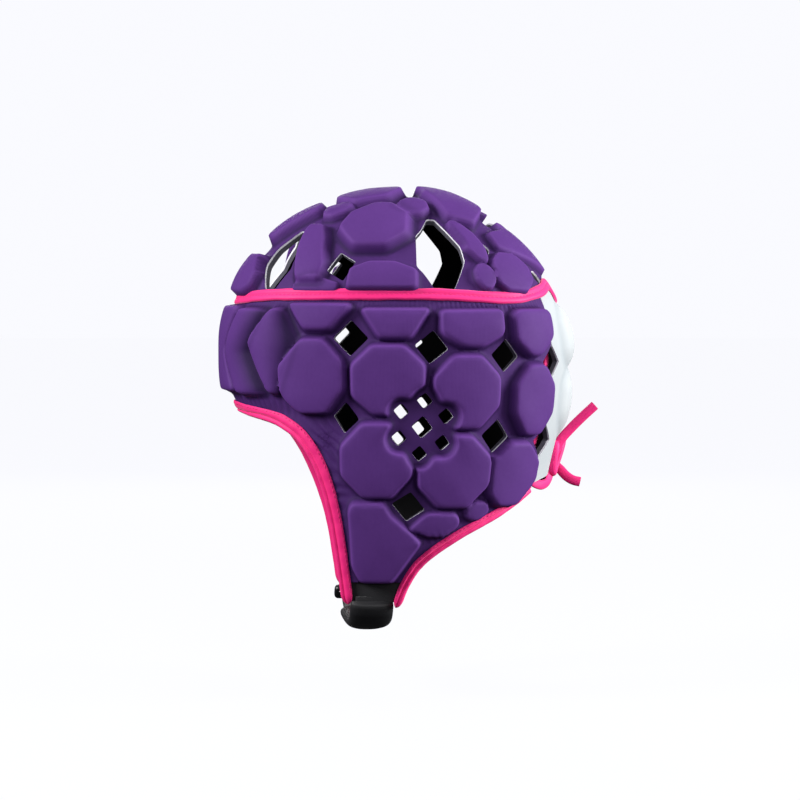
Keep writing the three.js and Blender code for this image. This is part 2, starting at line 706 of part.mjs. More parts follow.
/** Black tab that ends a flap, between the flap's two edges. */
function flapTab(side) {
  const clip = (line) => line.filter(([, z]) => z < FLAP_END - GAP && z > TAB_END);
  const steps = 4;
  const across = (height) => {
    const [from] = atHeight(frontLine, height);
    const [to] = atHeight(rearLine, height);
    return Array.from({ length: steps + 1 }, (_, i) => [from + ((to - from) * i) / steps, height]);
  };
  const top = across(FLAP_END - GAP).reverse();
  const ring = [...clip(frontLine), ...across(TAB_END), ...clip(rearLine), ...top];
  const border = anticlockwise(ring.map(([u, z]) => [side * u, z]));
  const skin = new Skin();
  const outer = skin.ring(border.map((point) => onBand(point, GAP + TAB_THICK)));
  const inner = skin.ring(border.map((point) => onBand(point, GAP)));
  const web = triangulate(border, []);
  skin.fill(outer, web);
  skin.fill(inner, web, true);
  skin.wall(inner, outer);
  return skin.geometry();
}

/** Middle line of the chin strap: from the left tab (0) under the chin to the right tab (1). */
const strapTop = onBand([STRAP.u, TAB_END - GAP], GAP + TAB_THICK / 2);
function strapPoint(share) {
  const turn = Math.PI * share;
  const x = strapTop.x * signedPower(Math.cos(turn), 2 / STRAP.bend);
  const z = strapTop.z - STRAP.drop * Math.sin(turn) ** (2 / STRAP.bend);
  return new THREE.Vector3(x, strapTop.y, z);
}

/** Frame on the strap: its point, its direction and the way out of the loop. */
function strapFrame(share) {
  const step = 1e-3;
  const from = strapPoint(Math.max(share - step, 0));
  const along = strapPoint(Math.min(share + step, 1)).sub(from).normalize();
  return { point: strapPoint(share), along, out: along.clone().cross(FORE_AFT) };
}

/** Sections of a strip that follows the strap, from a profile of fore-and-aft and outward offsets. */
function strapSections(profile, from, to, steps) {
  return Array.from({ length: steps + 1 }, (_, i) => {
    const { point, out } = strapFrame(from + ((to - from) * i) / steps);
    const offset = (aft, off) => point.clone().addScaledVector(FORE_AFT, aft).addScaledVector(out, off);
    return profile.map(([aft, off]) => offset(aft, off));
  });
}

const rectangle = (wide, thick) => [
  [-wide / 2, -thick / 2],
  [wide / 2, -thick / 2],
  [wide / 2, thick / 2],
  [-wide / 2, thick / 2],
];

/** Rectangle with its corners cut off. */
function chamfered(wide, thick, corner) {
  const x = wide / 2;
  const y = thick / 2;
  return [
    [corner - x, -y],
    [x - corner, -y],
    [x, corner - y],
    [x, y - corner],
    [x - corner, y],
    [corner - x, y],
    [-x, y - corner],
    [-x, corner - y],
  ];
}

/** Webbing of the chin strap, from tab to tab. */
function chinStrap() {
  return sweep(strapSections(rectangle(STRAP.wide, STRAP.thick), 0, 1, STRAP.steps), false);
}

/** Padded sleeve on the chin strap, with rounded corners and a slot for the strap. */
function chinPad() {
  const { slot, from, to, steps } = PAD;
  const bore = chamfered(STRAP.wide + 2 * slot, STRAP.thick + 2 * slot, slot);
  const outer = chamfered(PAD.wide, PAD.thick, PAD.corner);
  return sweep(strapSections(outer, from, to, steps), false, strapSections(bore, from, to, steps));
}

/** Moulded loop that the strap runs through at the right flap. */
function strapLoop() {
  const { wide, tall, bar, deep, at } = LOOP;
  const frame = (across, high) => rectangle(across, high).map(([a, b]) => new THREE.Vector2(a, b));
  const shape = new THREE.Shape(frame(wide, tall));
  shape.holes.push(new THREE.Path(frame(wide - 2 * bar, tall - 2 * bar + GAP).reverse()));
  const { point, along, out } = strapFrame(at);
  return new THREE.ExtrudeGeometry(shape, { depth: deep, bevelEnabled: false })
    .translate(0, 0, -deep / 2)
    .applyMatrix4(new THREE.Matrix4().makeBasis(FORE_AFT, out, along).setPosition(point));
}

/** Lace as a plain tube along its route, from the end of one tail to the end of the other. */
function lace() {
  const rightHalf = LACE_LOOP.map((row) => ({ ...row, u: -row.u }));
  const loop = [...rightHalf, LACE_TOP, ...LACE_LOOP.slice().reverse()];
  const rows = [...LACE_LONG_TAIL, ...loop, ...LACE_SHORT_TAIL];
  const route = new THREE.CatmullRomCurve3(rows.map(({ u, z, lift }) => onRear([u, z], lift)));
  const section = new THREE.Shape(Array.from({ length: LACE_SIDES }, (_, i) => {
    const turn = (2 * Math.PI * i) / LACE_SIDES;
    return new THREE.Vector2(Math.cos(turn), Math.sin(turn)).multiplyScalar(LACE_WIDE / 2);
  }));
  return new THREE.ExtrudeGeometry(section, { steps: LACE_STEPS, extrudePath: route });
}

const guard = new THREE.Group();

/** Adds a named piece with its finish. */
function add(name, finish, geometry) {
  const mesh = new THREE.Mesh(geometry, new THREE.MeshStandardMaterial({ ...finish, metalness: 0 }));
  mesh.name = name;
  guard.add(mesh);
}

add('crown_panel', FINISH.purple, paddedPanel({
  border: anticlockwise(crownBorder()),
  pads: bothSides(CROWN_PADS, onCrownPattern, SQUARE),
  vents: bothSides(CROWN_VENTS, onCrownPattern, DIAMOND).map(({ ring }) => ring),
  place: onCrown,
}));
add('side_band', FINISH.purple, paddedPanel({
  border: anticlockwise(bandBorder()),
  pads: bothSides(BAND_PADS, onBandPattern, SQUARE),
  vents: bothSides([...BAND_VENTS, ...earVents()], onBandPattern, DIAMOND).map(({ ring }) => ring),
  place: onBand,
}));
add('rear_panel', FINISH.white, paddedPanel({
  border: anticlockwise(rearBorder()),
  pads: bothSides(REAR_PADS, onBandPattern, SQUARE),
  vents: [],
  place: onRear,
}));
add('crown_binding', FINISH.pink, crownBinding());
const rightFront = frontLine.slice(1).map(([u, z]) => [-u, z]).reverse();
add('front_binding', FINISH.pink, foldedBinding([...rightFront, ...frontLine], FOLD.frontLeg, 1));
for (const [name, side] of [['left', 1], ['right', -1]]) {
  const line = rearLine.map(([u, z]) => [side * u, z]);
  add(`rear_binding_${name}`, FINISH.pink, foldedBinding(line, FOLD.rearLeg, side));
  add(`flap_tab_${name}`, FINISH.black, flapTab(side));
}
add('chin_strap', FINISH.black, chinStrap());
add('chin_pad', FINISH.black, chinPad());
add('strap_loop', FINISH.moulded, strapLoop());
add('lace', FINISH.pink, lace());

export default guard;
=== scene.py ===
"""Padded head guard for contact sport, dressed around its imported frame.

Tables are in millimetres on the same flat patterns as the solids; meshes are written in metres.
"""
import logging
import math
from collections.abc import Callable, Sequence
from dataclasses import dataclass, field
from enum import Enum

import bpy
import numpy as np
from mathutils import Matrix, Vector
from mathutils.geometry import delaunay_2d_cdt


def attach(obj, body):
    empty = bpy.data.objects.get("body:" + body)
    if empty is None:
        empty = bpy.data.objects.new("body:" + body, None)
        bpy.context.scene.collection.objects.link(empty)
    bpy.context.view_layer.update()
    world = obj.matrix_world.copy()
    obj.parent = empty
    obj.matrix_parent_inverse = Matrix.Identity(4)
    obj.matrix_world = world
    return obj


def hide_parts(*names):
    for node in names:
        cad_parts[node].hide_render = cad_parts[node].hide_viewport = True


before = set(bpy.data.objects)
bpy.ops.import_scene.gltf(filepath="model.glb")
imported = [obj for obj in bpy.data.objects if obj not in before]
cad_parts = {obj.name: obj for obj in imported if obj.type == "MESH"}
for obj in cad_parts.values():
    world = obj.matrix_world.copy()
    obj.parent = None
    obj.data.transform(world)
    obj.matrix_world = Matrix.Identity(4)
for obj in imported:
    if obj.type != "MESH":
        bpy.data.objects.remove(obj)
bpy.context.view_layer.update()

LOG = logging.getLogger("head_guard")
Array = np.ndarray
Chart = Callable[[Array], Array]
Faces = list[tuple[int, ...]]
Pair = tuple[float, float]
Triple = tuple[float, float, float]
Cuts = tuple[float, float, float, float]
Tint = tuple[float, float, float, float]  # linear colour and its alpha

MM = 0.001
FULL_TURN = 360.0
HALF_TURN = 180.0
TURN = 2 * math.pi
OUTLINE_STEP = 0.5  # steps along a block's outline before its corners are rounded
PATTERN = "pattern"  # UV map that holds the flat pattern, in metres
PUCKER = "pucker"  # where the covering is gathered into fine puckers
PAINTED_HIGHLIGHT = "shoulder"  # painted highlight: how close a point is to the rim of a block's top
PAINTED_SHADE = "painted_shade"  # painted shade: deepest where a point lies low between the blocks, also at block sides and on falling tops


class Slot(Enum):
    """Material slots of the record."""

    SHELL = "shell_fabric"
    REAR = "rear_fabric"
    TRIM = "trim"
    WEBBING = "webbing"
    NEOPRENE = "neoprene"
    MOULDED = "moulded_plastic"


class Side(Enum):
    """Side of the wearer, as the sign of X and of the band pattern's u."""

    LEFT = 1
    RIGHT = -1


# Head form and patterns


class TableCurve:
    """Smooth curve through a table's rows that never overshoots them."""

    def __init__(self, x: Sequence[float], y: Sequence[float]) -> None:
        """Works out the slopes.

        Args:
            x: rising places of the rows.
            y: values of the rows.
        """
        self.x, self.y = np.array(x, float), np.array(y, float)
        rise = np.diff(self.y) / np.diff(self.x)
        inner = np.zeros(len(rise) - 1)
        same = rise[:-1] * rise[1:] > 0
        inner[same] = 2 * (rise[:-1] * rise[1:])[same] / (rise[:-1] + rise[1:])[same]
        self.slope = np.concatenate([rise[:1], inner, [0.0]])

    def __call__(self, at: Array) -> Array:
        """Value at each place, held at the ends.

        Args:
            at: places.

        Returns:
            One value for each place.
        """
        at = np.clip(at, self.x[0], self.x[-1])
        i = np.clip(np.searchsorted(self.x, at) - 1, 0, len(self.x) - 2)
        span = self.x[i + 1] - self.x[i]
        t = (at - self.x[i]) / span
        back = 1 - t
        low = (1 + 2 * t) * back**2 * self.y[i] + t * back**2 * span * self.slope[i]
        return low + t**2 * (3 - 2 * t) * self.y[i + 1] - t**2 * back * span * self.slope[i + 1]


def signed_power(value: Array, power: float) -> Array:
    """Power that keeps the sign."""
    return np.sign(value) * np.abs(value) ** power


def ease(share: Array) -> Array:
    """Smooth step from 0 to 1."""
    return share**2 * (3 - 2 * share)


def unit(ways: Array) -> Array:
    """Vectors, one a row, brought to length one."""
    return ways / np.linalg.norm(ways, axis=1, keepdims=True)


def run_length(line: Array) -> Array:
    """Length along a polyline at each of its points."""
    return np.concatenate([[0.0], np.cumsum(np.linalg.norm(np.diff(line, axis=0), axis=1))])


def around(count: int) -> Array:
    """Even angles once round, in radians."""
    return np.linspace(0, TURN, count, endpoint=False)


@dataclass(frozen=True)
class HeadForm:
    """Lining surface: an oval brow section with a dome above it and a tapering wall below it."""

    station: float = 8.0
    front: float = 107.5
    back: float = 93.0
    half: float = 77.0
    dome: float = 90.0
    oval_power: float = 2.2
    front_power: float = 2.15
    back_power: float = 1.7
    reach_per_degree: float = 1.65
    wall_z: tuple[float, ...] = (-265, -200, -160, -127, -114, -90)
    wall_front: tuple[float, ...] = (0.78, 0.87, 0.935, 0.948, 0.99, 1)
    wall_back: tuple[float, ...] = (0.7, 0.8, 0.88, 0.967, 0.984, 1)
    wall_half: tuple[float, ...] = (0.77, 0.9, 0.965, 1, 1, 1)
    sway: float = 5.0  # how far the right flap hangs back
    sway_from: float = -140.0  # height where that starts
    sway_over: float = 70.0  # drop over which it grows
    sway_side: float = 40.0  # distance from the middle where it is full
    seam_turn: tuple[float, ...] = (0, 45, 90, 124, 148, 163, 180)
    seam_z: tuple[float, ...] = (-60, -56.5, -56, -58.5, -55, -51.5, -60)

    def power(self, turn: Array) -> Array:
        """Fullness of the dome's meridian at a turn."""
        facing = np.cos(np.radians(turn))
        end = np.where(facing > 0, self.front_power, self.back_power)
        return self.front_power + (end - self.front_power) * facing**2

    def section(self, turn: Array, z: Array, front: Array, back: Array, half: Array) -> Array:
        """Points of the brow section, shrunk towards the station and set at a height.

        Args:
            turn: degrees from the forehead.
            z: heights.
            front: share of the front depth.
            back: share of the back depth.
            half: share of the half width.

        Returns:
            Points in millimetres.
        """
        cos = signed_power(np.cos(np.radians(turn)), 2 / self.oval_power)
        sin = signed_power(np.sin(np.radians(turn)), 2 / self.oval_power)
        depth = np.where(cos > 0, self.front * front, self.back * back)
        return np.stack([self.half * half * sin, self.station - depth * cos, z], -1)

    def wall(self, turn: Array, z: Array) -> Array:
        """Lining points at a turn and height.

        Args:
            turn: degrees from the forehead.
            z: heights.

        Returns:
            Points in millimetres.
        """
        power = self.power(turn)
        rise = np.clip((z + self.dome) / self.dome, 0, 1)
        shrink = (1 - rise**power) ** (1 / power)
        tables = (self.wall_front, self.wall_back, self.wall_half)
        low = [np.where(z > -self.dome, shrink, TableCurve(self.wall_z, t)(z)) for t in tables]
        points = self.section(turn, z, *low)
        hang = np.clip((self.sway_from - z) / self.sway_over, 0, 1)
        right = np.clip(-points[..., 0] / self.sway_side, 0, 1)
        points[..., 1] += self.sway * ease(hang) * right
        return points

    def girth(self) -> Array:
        """Arc length round the brow section at each degree from the forehead."""
        turns = np.arange(HALF_TURN + 1)
        return run_length(self.wall(turns, np.full(len(turns), -self.dome)))

    def half_girth(self) -> float:
        """Arc length from the forehead to the nape."""
        return float(self.girth()[-1])

    def turn_at(self, u: Array) -> Array:
        """Turn at an arc length round the brow section, on either side.

        Args:
            u: arc lengths, negative on the right.

        Returns:
            Degrees from the forehead.
        """
        girth = self.girth()
        turns = np.arange(HALF_TURN + 1)
        off = np.abs(u)
        near = np.interp(np.minimum(off, 2 * girth[-1] - off), girth, turns)
        return np.sign(u) * np.where(off > girth[-1], FULL_TURN - near, near)

    def seam_height(self, turn: Array) -> Array:
        """Height of the crown seam at a turn."""
        folded = np.abs((turn + FULL_TURN + HALF_TURN) % FULL_TURN - HALF_TURN)
        return TableCurve(self.seam_turn, self.seam_z)(folded)

    def seam_reach(self, turn: Array) -> Array:
        """Reach of the crown seam on the crown pattern at a turn."""
        cos = ((self.seam_height(turn) + self.dome) / self.dome) ** (self.power(turn) / 2)
        return np.degrees(np.arccos(cos)) * self.reach_per_degree

    def band(self, ab: Array) -> Array:
        """Band pattern (u, z) to lining."""
        return self.wall(self.turn_at(ab[:, 0]), ab[:, 1])

    def rear(self, ab: Array) -> Array:
        """Rear pattern (u from the nape, z) to lining."""
        return self.wall(self.turn_at(self.half_girth() + ab[:, 0]), ab[:, 1])

    def crown(self, ab: Array) -> Array:
        """Crown pattern (side, back) to lining.

        Args:
            ab: pattern points.

        Returns:
            Points in millimetres.
        """
        turn = np.degrees(np.arctan2(ab[:, 0], -ab[:, 1]))
        down = np.radians(np.maximum(np.hypot(ab[:, 0], ab[:, 1]), 1e-3) / self.reach_per_degree)
        power = self.power(turn)
        shrink = np.sin(down) ** (2 / power)
        return self.section(turn, self.dome * np.cos(down) ** (2 / power) - self.dome, *[shrink] * 3)


HEAD = HeadForm()


def lifted(chart: Chart, ab: Array, lift: float | Array) -> Array:
    """Points above the lining.

    Args:
        chart: pattern to lining.
        ab: pattern points.
        lift: height above the lining, one for all or one for each point.

    Returns:
        Points in millimetres.
    """
    step = 0.2
    across = chart(ab + [step, 0]) - chart(ab - [step, 0])
    up = chart(ab + [0, step]) - chart(ab - [0, step])
    return chart(ab) + unit(np.cross(across, up)) * np.broadcast_to(lift, len(ab))[:, None]


def polar(turn: Array, reach: Array) -> Array:
    """Crown pattern points from turn and reach."""
    return np.stack([reach * np.sin(np.radians(turn)), -reach * np.cos(np.radians(turn))], -1)


def even_steps(line: Array, step: float, closed: bool = False) -> Array:
    """Points at even steps along a polyline, without the repeated end if it is closed.

    Args:
        line: points of the polyline.
        step: wanted step.
        closed: whether its end meets its start.

    Returns:
        The points, one a row.
    """
    path = np.vstack([line, line[:1]]) if closed else np.asarray(line, float)
    along = run_length(path)
    marks = np.linspace(0, along[-1], max(int(round(along[-1] / step)), 3) + 1)
    if closed:
        marks = marks[:-1]
    return np.stack([np.interp(marks, along, path[:, k]) for k in range(path.shape[1])], -1)


def softened(ring: Array, radius: float, step: float = 0.7) -> Array:
    """Closed outline with its corners rounded off.

    Args:
        ring: closed outline.
        radius: how far corners are rounded.
        step: step along it.

    Returns:
        The rounded outline.
    """
    even = even_steps(ring, step, closed=True)
    offsets = np.arange(-int(3 * radius / step), int(3 * radius / step) + 1)
    weights = np.exp(-0.5 * (offsets * step / radius) ** 2)
    return sum(w * np.roll(even, k, axis=0) for k, w in zip(offsets, weights / weights.sum()))


def inside(points: Array, ring: Array) -> Array:
    """Whether each pattern point lies inside a closed outline.

    Args:
        points: pattern points.
        ring: closed outline.

    Returns:
        True for each point inside.
    """
    x, y = points[:, 0], points[:, 1]
    within = np.zeros(len(points), bool)
    for (x1, y1), (x2, y2) in zip(ring, np.roll(ring, -1, axis=0)):
        pick = (y1 > y) != (y2 > y)
        within[pick] ^= x[pick] < (x2 - x1) * (y[pick] - y1) / (y2 - y1) + x1
    return within


def on_panel(points: Array, loops: list[Array]) -> Array:
    """Whether each pattern point lies inside the first outline and outside the others.

    Args:
        points: pattern points.
        loops: border first, then the vents.

    Returns:
        True for each point on the panel.
    """
    within = inside(points, loops[0])
    for loop in loops[1:]:
        within &= ~inside(points, loop)
    return within


def near_ring(points: Array, ring: Array, margin: float) -> Array:
    """Numbers of the points within a margin of an outline's box."""
    low, high = ring.min(axis=0) - margin, ring.max(axis=0) + margin
    return np.flatnonzero(((points > low) & (points < high)).all(axis=1))


def signed_distance(points: Array, ring: Array) -> Array:
    """Distance of pattern points from a closed outline, positive inside it.

    Args:
        points: pattern points.
        ring: closed outline.

    Returns:
        One distance for each point.
    """
    edge = np.roll(ring, -1, axis=0) - ring
    offset = points[:, None, :] - ring[None]
    share = np.clip((offset * edge).sum(-1) / (edge**2).sum(-1), 0, 1)
    away = np.linalg.norm(offset - share[..., None] * edge, axis=-1).min(axis=1)
    return np.where(inside(points, ring), away, -away)


def curve_part(start: Array, end: Array, leave: Array, arrive: Array, count: int) -> Array:
    """Points of a smooth curve between two places, without the last.

    Args:
        start: first place.
        end: last place.
        leave: way and pace at the start.
        arrive: way and pace at the end.
        count: number of points.

    Returns:
        The points, one a row.
    """
    t = np.linspace(0, 1, count, endpoint=False)[:, None]
    bend = (2 * start - 2 * end + leave + arrive) * t**3
    swing = (3 * end - 3 * start - 2 * leave - arrive) * t**2
    return bend + swing + leave * t + start


def smooth_line(rows: Array, step: float, fine: int = 40) -> Array:
    """Even steps along a smooth curve through a table's rows.

    Args:
        rows: places that the curve runs through.
        step: wanted step.
        fine: points between two rows.

    Returns:
        The points, one a row.
    """
    before = np.vstack([rows[:1], rows[:-2]])
    after = np.vstack([rows[2:], rows[-1:]])
    parts = [
        curve_part(p1, p2, (p2 - p0) / 2, (p3 - p1) / 2, fine)
        for p0, p1, p2, p3 in zip(before, rows[:-1], rows[1:], after)
    ]
    return even_steps(np.vstack([*parts, rows[-1:]]), step)


@dataclass(frozen=True)
class Block:
    """Top of one foam block, or one vent, on a flat pattern, with the shares cut off its corners."""

    a: float  # middle across the pattern, or its turn
    b: float  # middle up the pattern, or its reach
    wide: float
    tall: float
    cuts: Cuts = (0, 0, 0, 0)  # top left, top right, low right, low left
    rise: float = 8.0
    left: float = 0.0  # how far a point stands out of the left side
    right: float = 0.0  # and of the right side
    waist: float = 0.0  # height of these points above the middle
    taper: float = 1.0  # width of the bottom as a share of the top's
    lean: float = 0.0  # shift of the bottom against the top
    roll: float = 0.0  # degrees
    flank: float = 0.3  # run of the sides for their rise
    trail: float = 0.0  # share of the rise that the top loses towards its rear side
    scoop: bool = False  # the outline keeps clear of the ear vents
    pierced: bool = False  # a vent may cut through the block's top
    polar: bool = False  # the middle is given as turn and reach

    def corners(self) -> Array:
        """Straight-edged outline about the block's middle.

        Returns:
            Corners in order.
        """
        x, y = self.wide / 2, self.tall / 2

        def corner(sx: int, sy: int, cut: float, first: bool) -> list[Pair]:
            """One corner, or the two ends of its cut."""
            if cut == 0:
                return [(sx * x, sy * y)]
            ends = [(sx * x, sy * y * (1 - 2 * cut)), (sx * x * (1 - 2 * cut), sy * y)]
            return ends if first else ends[::-1]

        top_left, top_right, low_right, low_left = self.cuts
        left = [(-x - self.left, self.waist)] if self.left else []
        right = [(x + self.right, self.waist)] if self.right else []
        ring = [
            *corner(-1, 1, top_left, False), *left, *corner(-1, -1, low_left, True),
            *corner(1, -1, low_right, False), *right, *corner(1, 1, top_right, True),
        ]
        a, b = np.array(ring, float).T
        fallen = (y - b) / self.tall
        a = a * (1 + (self.taper - 1) * fallen) + self.lean * (fallen - 0.5)
        turn = math.radians(self.roll)
        gain = math.radians(self.b) if self.polar else 1.0
        a = a * gain
        turned = a * math.cos(turn) - b * math.sin(turn)
        return np.stack([turned / gain, a * math.sin(turn) + b * math.cos(turn)], -1)

    def outline(self, round_off: float) -> Array:
        """Rounded outline at its place on the pattern.

        Args:
            round_off: how far the corners are rounded.

        Returns:
            Closed outline, counter-clockwise.
        """
        ring = even_steps(self.corners(), OUTLINE_STEP, closed=True)
        if self.polar:
            ring = polar(self.a + ring[:, 0], self.b - ring[:, 1])
        else:
            ring = ring + [self.a, self.b]
        if self.scoop:
            ring = EAR.pinched(ring)
        ring = softened(ring, round_off)
        area = (ring[:, 0] * np.roll(ring[:, 1], -1) - np.roll(ring[:, 0], -1) * ring[:, 1]).sum()
        return ring if area > 0 else ring[::-1]


@dataclass(frozen=True)
class EarVents:
    """Vents over the ear: one large diamond in a ring of small ones."""

    u: float = 147.7
    z: float = -133.5
    vent: float = 13.5
    small: float = 10.0
    count: int = 6
    ring: float = 15.7
    start: float = 84.0
    roll: float = -6.0
    clear: float = 3.6  # blocks keep this far from a vent's corners
    hub: float = 19.0  # and this far from the middle

    def pinched(self, ring: Array) -> Array:
        """Block outline pushed clear of the middle and of every vent.

        Args:
            ring: closed outline.

        Returns:
            The pinched outline.
        """
        spots = [(self.u, self.z, self.hub)]
        spots += [(vent.a, vent.b, vent.wide / 2 + self.clear) for vent in self.blocks()[1:]]
        for u, z, reach in spots:
            off = ring - [u, z]
            away = np.linalg.norm(off, axis=1, keepdims=True)
            ring = [u, z] + off * np.maximum(1, reach / away)
        return ring

    def blocks(self) -> list[Block]:
        """The vents as pattern rows.

        Returns:
            The large vent, then the small ones.
        """
        rows = [Block(self.u, self.z, self.vent, self.vent, DIAMOND, roll=self.roll)]
        for i in range(self.count):
            turn = math.radians(self.start - FULL_TURN * i / self.count)
            u, z = self.u + self.ring * math.cos(turn), self.z + self.ring * math.sin(turn)
            rows.append(Block(u, z, self.small, self.small, DIAMOND, roll=self.roll))
        return rows


DIAMOND: Cuts = (0.5, 0.5, 0.5, 0.5)
EAR = EarVents()
OCTAGON: Cuts = (0.3, 0.3, 0.3, 0.3)

BAND_BLOCKS = (
    Block(0, -89, 54, 48, left=-11, right=-11),
    Block(41.5, -90, 23, 48, left=13, right=-12, trail=0.95),
    Block(60.5, -89.5, 8, 48, left=14.5, right=10.5, waist=6, trail=0.95),
    Block(87, -69.5, 38, 14, taper=0.4),
    Block(132, -73, 40, 16, taper=0.45),
    Block(177, -76, 37, 20, (0, 0, 0.35, 0.35)),
    Block(216.5, -79, 28, 25, (0.1, 0.1, 0.4, 0.35)),
    Block(83.3, -103.3, 38, 43, (0.36, 0.3, 0.3, 0.28)),
    Block(128, -105.5, 42, 41, (0.28, 0.28, 0.28, 0.28), scoop=True),
    Block(173.5, -112.5, 39, 43, OCTAGON, scoop=True),
    Block(217.5, -117.5, 29, 41, OCTAGON),
    Block(120, -153, 43, 44, OCTAGON, scoop=True),
    Block(168, -159.5, 46, 43, OCTAGON, scoop=True),
    Block(210, -161.5, 36, 38, (0.25, 0.3, 0.4, 0.2)),
    Block(114.5, -202, 26, 48, (0.1, 0.15, 0, 0.2), right=20),
    Block(161.5, -191.5, 24, 14, (0.1, 0.2, 0.45, 0.1), left=11, waist=-3, rise=6),
    Block(186, -183.5, 17, 11, (0.4, 0.2, 0.4, 0.2), rise=4.5),
)
BAND_VENTS = (
    Block(106, -81, 21, 21, DIAMOND),
    Block(153.3, -86.2, 20, 20, DIAMOND, roll=-7),
    Block(198, -91.5, 18, 20, DIAMOND, roll=-4),
    Block(101.2, -128, 16, 19, DIAMOND, roll=-8),
    Block(194.6, -139.2, 19, 20, DIAMOND, roll=-3),
    Block(139.3, -181, 22, 18, DIAMOND, roll=-10),
)
CROWN_BLOCKS = (
    Block(0, 103.5, 45, 24, (0.1, 0.1, 0.15, 0.15), polar=True),
    Block(0, -61, 44, 34, (0.15, 0.15, 0.1, 0.1), taper=0.7),
    Block(0, -20, 60, 31, (0.25, 0.25, 0.25, 0.25)),
    Block(0, 22, 112, 36, (0.25, 0.25, 0.3, 0.3)),
    Block(180, 79, 108, 30, (0.2, 0.2, 0.4, 0.4), rise=5.5, polar=True),
    Block(47, 87, 13, 40, (0.1, 0.25, 0.25, 0.08), lean=11, flank=0.5, polar=True),
    Block(54, 108.5, 18, 8, (0.45, 0.45, 0, 0), rise=4, polar=True),
    Block(70, 63, 31, 40, (0.3, 0.3, 0.25, 0.35), flank=0.5, polar=True),
    Block(77.5, 103, 22, 17, (0.3, 0.3, 0, 0), rise=7, polar=True),
    Block(39, 49, 18, 17, OCTAGON, rise=6.5, polar=True),
    Block(87.5, 43.5, 18, 21, OCTAGON, rise=6.5, polar=True),
    Block(111, 77, 10, 32, (0.2, 0.35, 0.3, 0.35), rise=6, lean=8, polar=True),
    Block(113.8, 102.5, 8.5, 16, OCTAGON, rise=5, polar=True),
    Block(129, 98.5, 21, 25, (0.25, 0.3, 0.3, 0.2), rise=6, polar=True),
    Block(180, 55, 54, 22, OCTAGON, rise=5.5, flank=0.8, pierced=True, polar=True),
)
CROWN_VENTS = (
    Block(28, 89, 19, 45, (0.36, 0.3, 0.3, 0.36), lean=6, polar=True),
    Block(62, 95.5, 11.5, 22, DIAMOND, roll=20, polar=True),
    Block(98, 82.5, 18.5, 58, (0.3, 0.45, 0.35, 0.28), polar=True),
    Block(121.5, 80.5, 4.5, 9, DIAMOND, polar=True),
    Block(153.5, 97.5, 9, 9, OCTAGON, polar=True),
    Block(180, 55, 66, 11, OCTAGON, polar=True),
)
REAR_BLOCKS = (
    Block(0, -81, 62, 33, (0.25, 0.25, 0.18, 0.18), rise=5, flank=1.6),
    Block(0, -121.5, 60, 37, (0.18, 0.18, 0.3, 0.3), rise=5, flank=1.6),
)


